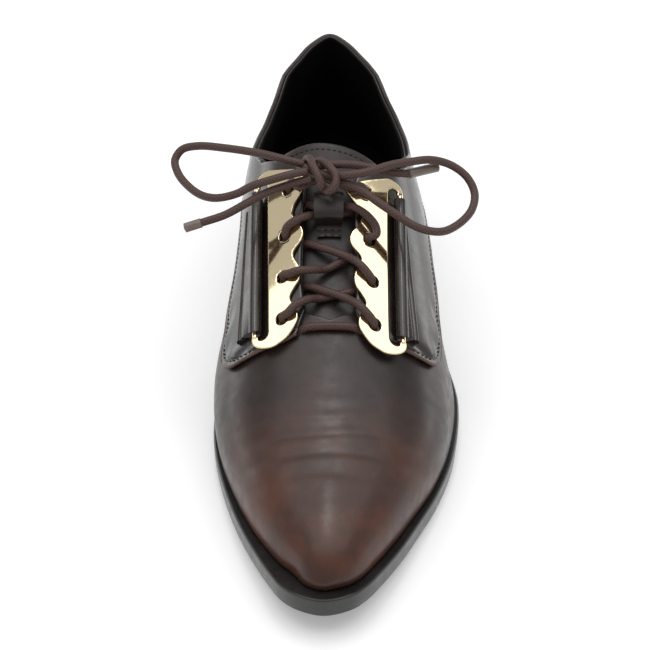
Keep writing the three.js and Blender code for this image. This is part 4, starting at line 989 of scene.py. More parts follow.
def waxed_braid():
    """Round braided cord with a wax sheen: strands cross along its own run."""
    material, n, shader = new_material("waxed_braid")
    uv = n.add("ShaderNodeUVMap", uv_map="run")
    part = n.add("ShaderNodeSeparateXYZ")
    n.link(uv.outputs[0], part.inputs[0])
    turn = n.math("MULTIPLY", part.outputs["X"], 6.0)
    run = n.math("DIVIDE", part.outputs["Y"], 1.7 * MM)
    waves = []
    for sign in (1, -1):
        phase = n.math("ADD", run, n.math("MULTIPLY", turn, sign))
        waves.append(n.math("ABSOLUTE", n.math("SINE", n.math("MULTIPLY", phase, math.pi))))
    braid = n.math("MULTIPLY", waves[0], waves[1])
    fuzz = n.add("ShaderNodeTexNoise", Scale=2600.0, Detail=3.0, Roughness=0.7)
    n.link(n.add("ShaderNodeTexCoord").outputs["Object"], fuzz.inputs["Vector"])
    # The colour follows the braid: darker in the grooves between the strands, a painted shade; the fine fuzz adds
    # tone that differs at random
    tone = n.math("ADD", n.math("MULTIPLY", braid, 0.35), n.math("MULTIPLY", fuzz.outputs[0], 0.8), clamp=True)
    colour = n.mix(n.spread(tone, 0.2, 0.95), (0.030, 0.013, 0.010), (0.110, 0.054, 0.043))
    n.link(colour, shader.inputs["Base Color"])
    n.link(n.spread(fuzz.outputs[0], 0.3, 0.7, 0.48, 0.72), shader.inputs["Roughness"])
    relief = n.add("ShaderNodeBump", Strength=0.5, Distance=0.2 * MM)
    n.link(tone, relief.inputs["Height"])
    n.link(relief.outputs[0], shader.inputs["Normal"])
    shader.inputs["Coat Weight"].default_value = 0.12
    shader.inputs["Coat Roughness"].default_value = 0.4
    return material


def plain(name, dark, light, rough, bump, scale=1200.0, coat=0.0, shine=0.5):
    """A rubber, lining or plastic finish with its own fine texture."""
    material, n, shader = new_material(name)
    grain = use_group(n, GROUPS["grain"], Scale=scale, Wander=60.0)
    spots = use_group(n, GROUPS["dust"], Scale=200.0, Amount=0.35)
    colour = n.mix(n.spread(grain.outputs["Mottle"], 0.3, 0.7), dark, light)
    colour = n.mix(spots.outputs["Mask"], colour, tuple(c * 1.6 for c in light))
    n.link(colour, shader.inputs["Base Color"])
    n.link(n.spread(grain.outputs["Haze"], 0.3, 0.7, rough - 0.04, rough + 0.06), shader.inputs["Roughness"])
    relief = n.add("ShaderNodeBump", Strength=bump, Distance=0.2 * MM)
    n.link(grain.outputs["Height"], relief.inputs["Height"])
    n.link(relief.outputs[0], shader.inputs["Normal"])
    shader.inputs["Coat Weight"].default_value = coat
    shader.inputs["Coat Roughness"].default_value = 0.12
    shader.inputs["Specular IOR Level"].default_value = shine
    return material


GROUPS = {}
FINISH = {}


def build_finishes():
    colours = bpy.context.scene.shoe_colours
    GROUPS["grain"] = grain_group()
    GROUPS["dust"] = dust_group()
    GROUPS["stitches"] = stitch_tree()
    FINISH["vamp"] = leather("vamp_leather", tuple(colours.vamp_dark), (0.028, 0.0150, 0.0115),
                             toe=tuple(colours.toe))
    FINISH["quarter"] = leather("quarter_leather", tuple(colours.quarter), (0.020, 0.0115, 0.0095), rough=0.27,
                                coat=0.45)
    # Strap finish: a reddish-brown painted sheen for the band between the strap's roll and its tail, not a colour of
    # the leather
    FINISH["strap"] = leather("strap_painted_sheen", (0.026, 0.011, 0.0085), (0.050, 0.021, 0.015), rough=0.25, coat=0.4)
    FINISH["tongue"] = leather("tongue_leather", (0.014, 0.0095, 0.008), (0.030, 0.020, 0.017), rough=0.42,
                               coat=0.05)
    FINISH["edge"] = leather("cut_edge", (0.060, 0.020, 0.012), (0.10, 0.036, 0.022), rough=0.45, coat=0.1)
    FINISH["fold"] = leather("folded_edge", (0.050, 0.026, 0.018), (0.13, 0.075, 0.055), rough=0.4, coat=0.1)
    FINISH["lining"] = plain("black_lining", (0.0008, 0.0008, 0.0008), (0.0016, 0.0015, 0.0014), 0.8, 0.15,
                             shine=0.12)
    FINISH["sole"] = plain("sole_black", (0.006, 0.0055, 0.005), (0.011, 0.010, 0.009), 0.3, 0.04, coat=0.15)
    FINISH["thread"] = plain("stitch_thread", (0.016, 0.010, 0.008), (0.034, 0.022, 0.018), 0.7, 0.3, 3000.0)
    FINISH["gold"] = polished_gold()
    FINISH["lace"] = waxed_braid()
    FINISH["tip"] = plain("lace_tip", (0.14, 0.105, 0.085), (0.19, 0.15, 0.125), 0.35, 0.1, coat=0.3)


# Pieces


# Creases where the foot bends: place along LENGTH, how far they bow, depth and width
CREASES = (
    (0.764, 0.0042, 0.20, 1.5), (0.789, 0.0035, 0.26, 1.7), (0.818, 0.0028, 0.22, 1.9),
    (0.741, 0.0040, 0.10, 1.6), (0.850, 0.0020, 0.10, 2.2),
)


def creases(points):
    """Soft troughs across the vamp, with the leather a little raised between them."""
    s = s_of(points) / MM
    x = (points[:, 0] - midline(s_of(points))) / MM
    fade = np.exp(-(x / 26) ** 4) * smooth(0.655 * LENGTH, 0.70 * LENGTH, s_of(points))
    depth = np.zeros(len(points))
    for place, bow, deep, wide in CREASES:
        off = s - place * LENGTH / MM + bow * x ** 2 + 0.5 * np.sin(x / 7 + 40 * place)
        depth += 0.45 * deep * np.exp(-((off - 1.9 * wide) / (1.3 * wide)) ** 2)
        depth -= deep * np.exp(-(off / wide) ** 2)
    return depth * fade * MM


def relax(points, faces, hold, times):
    """Evens out a surface, where hold is 0 in full and where it is 1 not at all."""
    edges = np.array([edge for face in faces for edge in zip(face, face[1:] + face[:1])])
    edges = np.unique(np.sort(edges, axis=1), axis=0)
    count = np.bincount(edges.ravel(), minlength=len(points))[:, None]
    for _ in range(times):
        total = np.zeros_like(points)
        np.add.at(total, edges[:, 0], points[edges[:, 1]])
        np.add.at(total, edges[:, 1], points[edges[:, 0]])
        points = mix(total / count, points, hold[:, None])
    return points


def build_upper():
    """The vamp and counter as one leather shell, with a black lining inside it."""
    k = np.concatenate([np.linspace(-1, 0, 48, endpoint=False), np.linspace(0, 1, 180, endpoint=False),
                        np.linspace(1, 2, 61)])
    k = np.sort(np.concatenate([k, [float(station_at(THROAT_FRONT))]]))
    rows = 56
    w = np.linspace(0, 1, rows + 1)
    parts, faces = [], []
    for side in SIDES:
        top = top_share(k, side)
        grid = LAST.at(k[:, None], side, top[:, None] * w[None, :])
        shift = sum(len(p) for p in parts)
        faces += (grid_faces(len(k), rows + 1, flip=side == LATERAL) + shift).tolist()
        parts.append(grid.reshape(-1, 3))
    points, faces, _ = weld(np.vstack(parts), faces)
    s = s_of(points)
    over = points[:, 2] - feather(s)
    loose = smooth(0.74 * LENGTH, 0.83 * LENGTH, s) * smooth(2 * MM, 7 * MM, over)
    points = relax(points, faces, 1 - 0.9 * loose, 30)
    body = thicken(points, faces, -0.95 * MM, 0.0, relief=creases(points), floor=feather)
    keep(make("vamp", *body, FINISH["vamp"]), "vamp_leather", "upper")
    t = np.linspace(-8.6, 8.6, 30) * MM
    sew("vamp_stitches", [on_last(THROAT_FRONT + 1.6 * MM, t, 0.12 * MM)], "vamp_leather", "upper")
    body = thicken(points, faces, -WALL, -1.0 * MM, floor=feather)
    keep(make("upper_lining", *body, FINISH["lining"]), "lining", "upper")


def raised(k, side, v, off):
    """Points on the last at stations k and shares v, raised by off along the surface's normal."""
    e = 0.004
    along = LAST.at(np.minimum(k + e, 2), side, v) - LAST.at(np.maximum(k - e, -1), side, v)
    across = LAST.at(k, side, np.minimum(v + e, 1)) - LAST.at(k, side, np.maximum(v - e, 0))
    normal = np.cross(along, across)
    normal /= np.linalg.norm(normal, axis=1)[:, None]
    turn = np.where(SIGN[side] * normal[:, 0] + 0.5 * normal[:, 2] < 0, -1, 1)
    return LAST.at(k, side, v) + normal * (turn * off)[:, None]


def build_quarter(side):
    columns, rows = 200, 44
    u = np.linspace(0, 1, columns + 1)
    w = np.linspace(0, 1, rows + 1)
    low_k, low_v = quarter_low(u, side)
    top_k, top_v = quarter_top(u, side)
    k = mix(low_k[:, None], top_k[:, None], w)
    v = mix(low_v[:, None], top_v[:, None], w)
    grid = LAST.at(k, side, v)
    lift = FLAP_LIFT * smooth(0.8, 0.88, u)[:, None] * (1 - w) ** 2
    faces = grid_faces(columns + 1, rows + 1, flip=side == LATERAL).tolist()
    lift = lift.ravel()
    inward = np.concatenate([np.zeros((columns + 1, 1)),
                             np.cumsum(np.linalg.norm(np.diff(grid, axis=1), axis=2), axis=1)], axis=1)
    pressed = -0.3 * MM * np.exp(-((inward - 2.3 * MM) / (0.7 * MM)) ** 2)
    flap = smooth(0.70, 0.80, u)[:, None]
    wrinkle = 0.35 * MM * flap * np.exp(-((inward - 5 * MM) / (3.2 * MM)) ** 2) * np.sin(u[:, None] * 95)
    body = thicken(grid.reshape(-1, 3), faces, 0.12 * MM + lift, LAID + LEATHER + lift,
                   relief=(pressed + wrinkle).ravel())
    name = "quarter_" + NAMES[side]
    keep(make(name + "_leather", *body, FINISH["quarter"]), "brown_leather", name)
    surface = LAID + LEATHER + FLAP_LIFT * smooth(0.8, 0.88, u)
    seam_k, seam_v, edge = [], [], []
    for i in range(columns + 1):
        way = np.interp(2.3 * MM, inward[i], w)
        seam_k.append(mix(low_k[i], top_k[i], way))
        seam_v.append(mix(low_v[i], top_v[i], way))
    ahead = raised(np.array(seam_k), side, np.array(seam_v), surface - 0.12 * MM)
    sew(name + "_stitches", [ahead[3:-2]], "brown_leather", name)
    fold = raised(low_k, side, low_v, surface - 0.45 * MM)
    tube, _ = make_tube(name + "_fold", fold[4:], 0.62 * MM, FINISH["fold"], sides=12, step=0.7 * MM)
    keep(tube, "brown_leather", name)
    rim = raised(top_k, side, top_v, np.full(columns + 1, LAID + 0.35 * LEATHER))
    tube, _ = make_tube(name + "_rim", rim[:140], 0.62 * MM, FINISH["quarter"], sides=12, step=0.7 * MM)
    keep(tube, "brown_leather", name)


def build_tongue():
    across, down = 60, 90
    w = np.linspace(0, 1, down + 1)
    side = np.linspace(-1, 1, across + 1)
    t = TONGUE_HALF * (1 - 0.3 * w[None, :]) * side[:, None]
    t_mm = t / MM
    top = TONGUE_TOP * LENGTH + (0.12 * t_mm - 0.002 * t_mm ** 2) * MM
    grid = on_last(mix(top, TONGUE_END * LENGTH, w[None, :]), t, UNDER_UPPER)
    faces = grid_faces(across + 1, down + 1, flip=True).tolist()
    body = thicken(grid.reshape(-1, 3), faces, -TONGUE_THICK, 0.0)
    keep(make("tongue_leather", *body, FINISH["tongue"]), "brown_leather", "tongue")
    arc = t[:, 0]
    sew("tongue_stitches", [on_last(top[:, 0] + 1.9 * MM, arc, UNDER_UPPER + 0.1 * MM)[3:-3]],
        "brown_leather", "tongue")


def build_keeper():
    foot = UNDER_UPPER + GAP
    line = [(s * LENGTH, foot + up * MM) for s, up in KEEPER_LINE]
    slant = [0, 0, -0.7 * MM, 0.7 * MM, 0, 0]
    back = [(s + d, off + LEATHER) for (s, off), d in zip(line, slant)][::-1]
    front = along_curve(np.array(line), np.linspace(0, 1, 41))
    rear = along_curve(np.array(back), np.linspace(0, 1, 41))
    outline = np.vstack([front, rear])
    t = np.linspace(-0.5, 0.5, 25) * KEEPER_WIDTH
    rings = np.array([on_last(outline[:, 0], each, outline[:, 1]) for each in t])
    count = len(outline)
    faces = []
    for i in range(len(t) - 1):
        for j in range(count):
            n = (j + 1) % count
            faces.append([i * count + j, i * count + n, (i + 1) * count + n, (i + 1) * count + j])
    cap = list(range(count))
    half = count // 2
    for base in (0, (len(t) - 1) * count):
        for j in range(half - 1):
            faces.append([base + cap[j], base + cap[j + 1], base + cap[count - 2 - j], base + cap[count - 1 - j]])
    strap = make("keeper_leather", rings.reshape(-1, 3), faces, FINISH["tongue"])
    strap.data.set_sharp_from_angle(angle=math.radians(50))
    keep(strap, "brown_leather", "lace_keeper")
    t = np.linspace(-0.42, 0.42, 12) * KEEPER_WIDTH
    sew("keeper_stitches", [on_last(each * LENGTH, t, foot + LEATHER + 0.05 * MM) for each in (0.5135, 0.5205)],
        "brown_leather", "lace_keeper")


def plate_outline(side):
    """Outline of a lacing plate with its two hooks, as rows of (a, v)."""
    L = PLATE_LENGTH
    tip = -SLOT - HOOK
    head = PLATE_HEAD[side]
    top = head + HOOK_END - 0.4 * MM

    def bezier(a, b, c, d, count=10):
        t = np.linspace(0, 1, count + 1)[1:, None]
        a, b, c, d = map(np.array, (a, b, c, d))
        return (1 - t) ** 3 * a + 3 * t * (1 - t) ** 2 * b + 3 * t * t * (1 - t) * c + t ** 3 * d

    def arc(cx, cy, r, start, end, count=10):
        angle = np.linspace(start, end, count + 1)[1:, None]
        return np.hstack([cx + r * np.cos(angle), cy + r * np.sin(angle)])
    m = MM
    lobes = [(head, 0)] + [(head + a * m, v * m) for a, v in CROWN] + [(a * L, v * m) for a, v in SCALLOPS]
    rows = [spline_through(np.array(lobes), np.linspace(0, 1, 6 * len(lobes)))]
    rows.append(bezier(rows[-1][-1], (L, 0.5 * m), (L - 0.8 * m, tip), (L - 4.6 * m, tip)))
    rows.append(np.array([(L - HOOK_END, tip)]))
    rows.append(arc(L - HOOK_END, tip + HOOK / 2, HOOK / 2, -np.pi / 2, -np.pi * 1.5))
    rows.append(bezier((L - HOOK_END, -SLOT), (L - 3.3 * m, -SLOT), (L - 3.3 * m, 0), (L - 6.8 * m, 0)))
    rows.append(np.array([(head + 6 * m, 0)]))
    rows.append(bezier((head + 6 * m, 0), (head + 2.4 * m, 0), (head + 2.4 * m, -SLOT), (top - 0.4 * m, -SLOT)))
    rows.append(np.array([(top, -SLOT)]))
    rows.append(arc(top, tip + HOOK / 2, HOOK / 2, np.pi / 2, -np.pi / 2))
    rows.append(bezier((top, tip), (head + 1.2 * m, tip), (head - 0.4 * m, -3.6 * m), (head, 0))[:-1])
    return np.vstack(rows)


def spline_through(points, t):
    """Uniform curve through points, as a drawn spline runs."""
    count = len(points)
    at = t * (count - 1)
    i = np.minimum(np.floor(at).astype(int), count - 2)
    w = (at - i)[:, None]
    p0, p1 = points[np.maximum(i - 1, 0)], points[i]
    p2, p3 = points[i + 1], points[np.minimum(i + 2, count - 1)]
    a, b = (p2 - p0) / 2, (p3 - p1) / 2
    return p1 + a * w + (3 * (p2 - p1) - 2 * a - b) * w ** 2 + (2 * (p1 - p2) + a + b) * w ** 3


def build_plate(side):
    """A polished plate with rounded edges and holes, and the bar that the strap turns on."""
    bevel = bpy.context.scene.shoe_sizes.plate_bevel
    curve = bpy.data.curves.new("plate", "CURVE")
    curve.dimensions = "2D"
    curve.fill_mode = "BOTH"
    loops = [plate_outline(side)]
    for a, v in HOLES:
        angle = np.linspace(0, -2 * np.pi, 40, endpoint=False)
        loops.append(np.column_stack([a * PLATE_LENGTH + HOLE_RADIUS * np.cos(angle),
                                      v + HOLE_RADIUS * np.sin(angle)]))
    for loop in loops:
        spline = curve.splines.new("POLY")
        spline.points.add(len(loop) - 1)
        spline.points.foreach_set("co", np.column_stack([loop / MM, np.zeros(len(loop)), np.ones(len(loop))]).ravel())
        spline.use_cyclic_u = True
    curve.extrude = (PLATE_THICK / 2 - bevel) / MM
    curve.bevel_depth = bevel / MM
    curve.bevel_resolution = 3
    curve.offset = -bevel / MM
    flat = bpy.data.objects.new("plate", curve)
    bpy.context.scene.collection.objects.link(flat)
    bpy.context.view_layer.update()
    mesh = bpy.data.meshes.new_from_object(flat.evaluated_get(bpy.context.evaluated_depsgraph_get()))
    bpy.data.objects.remove(flat)
    b = bmesh.new()
    b.from_mesh(mesh)
    bmesh.ops.remove_doubles(b, verts=b.verts, dist=0.001)
    for cut in np.arange(1.5, PLATE_LENGTH / MM, 1.5):
        bmesh.ops.bisect_plane(b, geom=b.verts[:] + b.edges[:] + b.faces[:], plane_co=(cut, 0, 0), plane_no=(1, 0, 0))
    rows = np.array([v.co[:] for v in b.verts]) * MM
    placed = FACINGS[side].at(rows[:, 0], rows[:, 1], rows[:, 2] + PLATE_THICK / 2)
    for vertex, p in zip(b.verts, placed):
        vertex.co = Vector(p)
    bmesh.ops.recalc_face_normals(b, faces=b.faces)
    b.to_mesh(mesh)
    b.free()
    mesh.materials.clear()
    mesh.materials.append(FINISH["gold"])
    mesh.shade_smooth()
    body = bpy.data.objects.new("plate_" + NAMES[side] + "_polished", mesh)
    bpy.context.scene.collection.objects.link(body)
    weighted = body.modifiers.new("weighted", "WEIGHTED_NORMAL")
    weighted.weight = 100
    bpy.context.view_layer.update()
    finished = bpy.data.meshes.new_from_object(body.evaluated_get(bpy.context.evaluated_depsgraph_get()))
    body.modifiers.clear()
    body.data = finished
    steps = np.linspace(PLATE_HEAD[side] + HOOK_END - 0.4 * MM, PLATE_LENGTH - HOOK_END, 20)
    bar, _ = make_tube("plate_bar", FACINGS[side].at(steps, BAR_V, BAR_W), BAR_RADIUS, FINISH["gold"])
    keep(bar, "gold_metal", "plate_" + NAMES[side])
    bar.name = "plate_" + NAMES[side] + "_bar"
    keep(body, "gold_metal", "plate_" + NAMES[side])


def strap_height(inward):
    """Top of the tail over its underside: a rounded cut edge and a pressed groove beside it."""
    edge = 0.5 * np.exp(-(inward / (0.4 * MM)) ** 2)
    groove = 0.3 * np.exp(-((inward - 2.4 * MM) / (0.55 * MM)) ** 2)
    return TAIL_THICK * (1 - edge - groove)


def build_strap(side):
    """Leather loop rolled round the plate's bar, its tail laid on the quarter."""
    steps = 96
    arc = np.radians(-115 + 250 * np.arange(33) / 32)
    across = np.concatenate([np.linspace(0, 1.2, 7), np.linspace(1.5, 7, 23)]) / 7
    first = PLATE_HEAD[side] + HOOK_END - 0.4 * MM + STRAP_CLEAR
    last = PLATE_LENGTH - HOOK_END - STRAP_CLEAR
    rings = []
    for a in np.linspace(first, last, steps + 1):
        s = PLATE_TOP[side] + a * TAIL_SHARE
        rest = FACING_OFF - 0.25 * MM + FLAP_LIFT * smooth(PLATE_TOP[side] + 45 * MM, PLATE_TOP[side] + 60 * MM, s)
        tail = mix(*STRAP_TAIL[side], a / PLATE_LENGTH)
        flat = mix(tail, max(tail - 7 * MM, STRAP_BEND), across)
        low = on_last(s, SIGN[side] * flat[::6], rest)
        high = on_last(s, SIGN[side] * flat, rest + strap_height(tail - flat))[::-1]
        roll = FACINGS[side].at(a, BAR_V + ROLL_OUTER * np.cos(arc), BAR_W + ROLL_OUTER * np.sin(arc))
        w = np.linspace(0, 1, 9)[1:-1, None]
        out = FACINGS[side].at(a, 0, 1 * MM) - FACINGS[side].at(a, 0, 0)
        rise = mix(roll[-1], high[0], w) + out * 0.55 * np.sin(np.pi * w)
        rings.append(np.vstack([low, roll, rise, high]))
    count = len(rings[0])
    points = np.vstack(rings)
    cut = count - 5
    # Faces from the roll over the rise to the tail's inner end take the strap finish, a reddish-brown painted sheen
    brown = (len(low) + len(roll), len(low) + len(roll) + len(rise) + 6)
    faces, finish = [], []
    for i in range(steps):
        for j in range(count):
            n = (j + 1) % count
            faces.append([i * count + j, i * count + n, (i + 1) * count + n, (i + 1) * count + j])
            finish.append(1 if j >= cut else 2 if brown[0] <= j < brown[1] else 0)
    for base in (0, steps * count):
        ring = [Vector(p) for p in points[base:base + count]]
        for tri in tessellate_polygon([ring]):
            faces.append([base + c for c in tri])
            finish.append(0)
    piece = make("strap_" + NAMES[side] + "_leather", points, faces, FINISH["quarter"], True)
    piece.data.materials.append(FINISH["edge"])
    piece.data.materials.append(FINISH["strap"])
    piece.data.polygons.foreach_set("material_index", finish)
    piece.data.set_sharp_from_angle(angle=math.radians(55))
    keep(piece, "brown_leather", "strap_" + NAMES[side])


def level(plan, height):
    return np.column_stack([plan[:, 1], ORIGIN_S - plan[:, 0], height(plan[:, 0])])


def stack(loops):
    """Closed body from loops of points in plan, its two ends filled."""
    count = len(loops[0])
    faces = []
    for r in range(len(loops) - 1):
        for i in range(count):
            n = (i + 1) % count
            faces.append([r * count + i, r * count + n, (r + 1) * count + n, (r + 1) * count + i])
    for base in (0, (len(loops) - 1) * count):
        ring = [Vector((p[0], p[1], 0)) for p in loops[base // count]]
        for tri in tessellate_polygon([ring]):
            faces.append([base + c for c in tri])
    return np.vstack(loops), faces


def build_outsole():
    plan = sole_outline(8)

    def ring(inset, height):
        return level(inset_outline(plan, inset), height)
    loops = [
        ring(0.9 * MM, underside),
        ring(0.45 * MM, lambda s: underside(s) + 0.25 * MM),
        ring(0.2 * MM, lambda s: underside(s) + 0.8 * MM),
        ring(0.05 * MM, lambda s: mix(underside(s), sole_top(s), 0.4)),
        ring(0, lambda s: sole_top(s) - 1.4 * MM),
        ring(0.02 * MM, lambda s: sole_top(s) - 0.75 * MM),
        ring(0.2 * MM, lambda s: sole_top(s) - 0.3 * MM),
        ring(0.6 * MM, sole_top),
    ]
    keep(make("outsole_edge_dressed", *stack(loops), FINISH["sole"], False), "sole", "outsole")


def heel_plan(d):
    outline = sole_outline(8)
    plan = inset_outline(outline, d)
    rear = np.nonzero(outline[:, 0] < HEEL_LENGTH)[0]
    medial = rear[rear < len(plan) / 2]
    lateral = rear[rear > len(plan) / 2]
    half = min(len(lateral), len(medial) - 1)
    x = np.linspace(-0.27, 0.27, 19) * BALL_WIDTH
    front = np.column_stack([HEEL_LENGTH - d - 3 * MM * (1 - (x / (0.36 * BALL_WIDTH)) ** 2), x])
    return np.vstack([plan[medial[:half + 1]], front, plan[lateral[-half:]]])


def build_heel():
    def ring(d, height):
        return level(heel_plan(d), height)
    block = [
        ring(HEEL_TAPER, lambda s: 0 * s + LIFT_THICK + 0.05 * MM),
        ring(mix(HEEL_TAPER, 0.5 * MM, 0.5), lambda s: mix(LIFT_THICK, underside(s), 0.5)),
        ring(0.5 * MM, lambda s: underside(s) - 1.3 * MM),
        ring(0.7 * MM, lambda s: underside(s) - 0.05 * MM),
    ]
    keep(make("heel_block", *stack(block), FINISH["sole"], False), "sole", "heel")
    lift = [
        ring(HEEL_TAPER + 0.4 * MM, lambda s: 0 * s),
        ring(HEEL_TAPER, lambda s: 0 * s + 0.5 * MM),
        ring(HEEL_TAPER, lambda s: 0 * s + LIFT_THICK - 0.3 * MM),
        ring(HEEL_TAPER + 0.25 * MM, lambda s: 0 * s + LIFT_THICK),
    ]
    keep(make("heel_tread", *stack(lift), FINISH["sole"], False), "sole", "heel_top_lift")


def build_insole():
    k = np.linspace(-1, 2, 121)
    plan = sole_outline(12)
    plan = inset_outline(plan, welt_at(plan))
    rows = []
    for side in SIDES:
        s, x, ds, dx, reach = station_rays(k, side, plan)
        reach = reach - (WALL + 0.3 * MM)
        rows.append(np.column_stack([s + ds * reach, x + dx * reach]))
    outline = np.vstack([rows[MEDIAL], rows[LATERAL][-2:0:-1]])
    loops = [level(outline, feather), level(outline, lambda s: feather(s) + INSOLE_THICK - 0.4 * MM),
             level(inset_outline(outline, 0.4 * MM), lambda s: feather(s) + INSOLE_THICK)]
    keep(make("insole_lining", *stack(loops), FINISH["lining"], False), "lining", "insole")


# Laces: on the plate (down it, towards the tongue), then on the last (along, girth, height)
OPEN_OVER = (((0, 0), (-2.5, 3.2), (-4.7, 6.1)),
             ((-7.8, -6.4, LACE_HIGH + 1.2 * MM), (-10.1, -1.8, LACE_HIGH - 0.1 * MM),
              (-12.2, 3, LACE_LOW + 1.9 * MM), (-14.8, 7.8, LACE_LOW + 0.2 * MM)))
LOW_UNDER = (((0, 0), (-0.6, 3), (-2.6, 6)),
             ((-5, -7.2, LACE_LOW + 4 * MM), (-6.5, -4, LACE_LOW + 0.8 * MM), (-7.4, 0, LACE_LOW),
              (-8.5, 4, LACE_LOW), (-9.6, 7.8, LACE_LOW)))
MIDDLE_UNDER = (((0, 0), (0.7, 3.4), (0.8, 6.8)),
                ((-0.1, -5, LACE_HIGH + 0.9 * MM), (-1.1, -2.4, LACE_LOW + 1.6 * MM),
                 (-2.3, 0.6, LACE_LOW + 0.6 * MM), (-4.4, 4.3, LACE_LOW + 1.2 * MM),
                 (-6.4, 7.8, LACE_LOW + 0.9 * MM)))
KEPT_OVER = (((0, 0), (-1.6, -1.9), (-4.6, -1.7), (-7, 0.8), (-8.2, 3.4)),
             ((-9.8, -7.4, LACE_HIGH + 2.7 * MM), (-10.4, -4.4, LACE_LOW + 1.8 * MM),
              (-10.7, 0, LACE_LOW + 1.6 * MM), (-11, 4.6, LACE_LOW + 1 * MM), (-13, 7.8, LACE_LOW)))
KEPT_UNDER = (((0, 0), (-1.6, 1.9), (-2.6, 5)),
              ((-4.2, -7.4, LACE_HIGH + 1.4 * MM), (-5, -4.6, LACE_LOW + 1.9 * MM),
               (-5.4, 0, LACE_LOW + 1.6 * MM), (-5.8, 4.6, LACE_LOW + 1 * MM), (-7, 7.8, LACE_LOW)))
CROSSINGS = (
    ("lace_crossing_top", 1, KEPT_OVER, KEPT_UNDER),
    ("lace_crossing_middle", 2, OPEN_OVER, MIDDLE_UNDER),
    ("lace_crossing_low", 3, OPEN_OVER, LOW_UNDER),
)


ON_PLATE = PLATE_THICK + LACE / 2 + 0.05 * MM


def rising(facing, a, v):
    """Points of a lace that comes up through a hole, leaning towards the tongue."""
    steps = ((0.6, -0.1, -2.2), (0.2, 0.2, -0.2), (-0.4, 0.6, 1.7))
    return [facing.at(a + da * MM, v + dv * MM, w * MM) for da, dv, w in steps]


def strand_points(i, side, on_plate, on_tongue):
    """Route of one strand: up through its hole, over the plate, across, and under the facing."""
    a, v = HOLES[i]
    facing = FACINGS[side]
    s = PLATE_TOP[side] + a * PLATE_LENGTH
    route = rising(facing, a * PLATE_LENGTH, v)
    route += [facing.at(a * PLATE_LENGTH + da * MM, v + dv * MM, ON_PLATE) for da, dv in on_plate[1:]]
    other = -SIGN[side]
    route += [on_last(s + ds * MM, other * t * MM, off) for ds, t, off in on_tongue]
    ds, t, off = on_tongue[-1]
    route.append(on_last(s + (ds - 1) * MM, other * (t + 3.5) * MM, UNDER_UPPER - 0.2 * MM))
    return np.array(route)


def build_crossings():
    for name, i, over, under in CROSSINGS:
        first, _ = make_tube(name + "_over", strand_points(i, LATERAL, *over), LACE / 2, FINISH["lace"])
        second, _ = make_tube(name + "_under", strand_points(i, MEDIAL, *under), LACE / 2, FINISH["lace"])
        keep(joined(name + "_braid", [first, second]), "lace", name)
    s = PLATE_TOP[MEDIAL] + HOLES[3][0] * PLATE_LENGTH + 4.4 * MM
    t = np.array([-11.5, -7.8, -4, 0, 4, 7.8, 11.5]) * MM
    rest = np.where(np.abs(t) > 9 * MM, -0.8 * MM, GAP + LACE / 2)
    bar, _ = make_tube("lace_bar_braid", on_last(s, t, rest), LACE / 2, FINISH["lace"])
    keep(bar, "lace", "lace_bar")
    top = [FACINGS[side].at(HOLES[0][0] * PLATE_LENGTH, HOLES[0][1], OVER) for side in SIDES]
    ways = [mix(top[0], top[1], way) + np.array([0, along, up]) * MM for way, along, up in TIE]

    ends = []
    for side in SIDES:
        a, v = HOLES[0][0] * PLATE_LENGTH, HOLES[0][1]
        ends.append(rising(FACINGS[side], a, v) + [FACINGS[side].at(a - 0.6 * MM, v + 3 * MM, ON_PLATE)])
    route = ends[MEDIAL] + ways + ends[LATERAL][::-1]
    tie, _ = make_tube("lace_tie_braid", np.array(route), LACE / 2, FINISH["lace"])
    keep(tie, "lace", "lace_tie")


def build_bow():
    """The bow: two loops, two ends with their tips, and the knot that holds them."""
    for name, route, far_end in (
        ("lace_loop_medial", LOOP_MEDIAL, "object"), ("lace_loop_lateral", LOOP_LATERAL, "object"),
        ("lace_end_medial", END_MEDIAL, "bare"), ("lace_end_lateral", END_LATERAL, "bare"),
    ):
        piece, path = make_tube(name + "_braid", np.array(route), LACE / 2, FINISH["lace"])
        keep(piece, "lace", name)
        length = float(np.linalg.norm(np.diff(path, axis=0), axis=1).sum())
        tips = []
        if far_end == "bare":
            side = name.rsplit("_", 1)[1]
            tip_route = TIP_MEDIAL if side == "medial" else TIP_LATERAL
            tip, _ = make_tube("aglet_" + side + "_tube", np.array(tip_route), AGLET / 2, FINISH["tip"])
            keep(tip, "lace_tip", "aglet_" + side)
            tips = [tip]
        tuple(route[0])
        "fitting" if tips else far_end
    wraps = [make_tube("knot_wrap", np.array(route), LACE / 2, FINISH["lace"])[0] for route in KNOT]
    keep(joined("lace_knot_braid", wraps), "lace", "lace_knot")


# Stage and camera
CAMERA_TARGET = (-0.002, -0.118547, 0.035)
CAMERA_LIFT = math.radians(38.33)
CAMERA_FAR = 0.7
CAMERA_LENS = 103.4


def aim(thing, target):
    away = Vector(target) - thing.location
    thing.rotation_euler = away.to_track_quat("-Z", "Y").to_euler()


def build_camera():
    data = bpy.data.cameras.new("camera")
    data.lens = CAMERA_LENS
    data.sensor_width = 36
    data.sensor_fit = "HORIZONTAL"
    data.clip_start = 0.01
    camera = bpy.data.objects.new("camera", data)
    bpy.context.scene.collection.objects.link(camera)
    x, y, z = CAMERA_TARGET
    camera.location = (x, y - CAMERA_FAR * math.cos(CAMERA_LIFT), z + CAMERA_FAR * math.sin(CAMERA_LIFT))
    aim(camera, CAMERA_TARGET)
    bpy.context.scene.camera = camera


def softbox(name, place, target, size, power):
    data = bpy.data.lights.new(name, "AREA")
    data.shape = "RECTANGLE"
    data.size, data.size_y = size
    data.energy = power
    light = bpy.data.objects.new(name, data)
    bpy.context.scene.collection.objects.link(light)
    light.location = place
    aim(light, target)


WIDE_POWER = 7.6
BRIGHT_POWER = 1.3
SIDE_POWER = 2.6
AMBIENT = 0.5


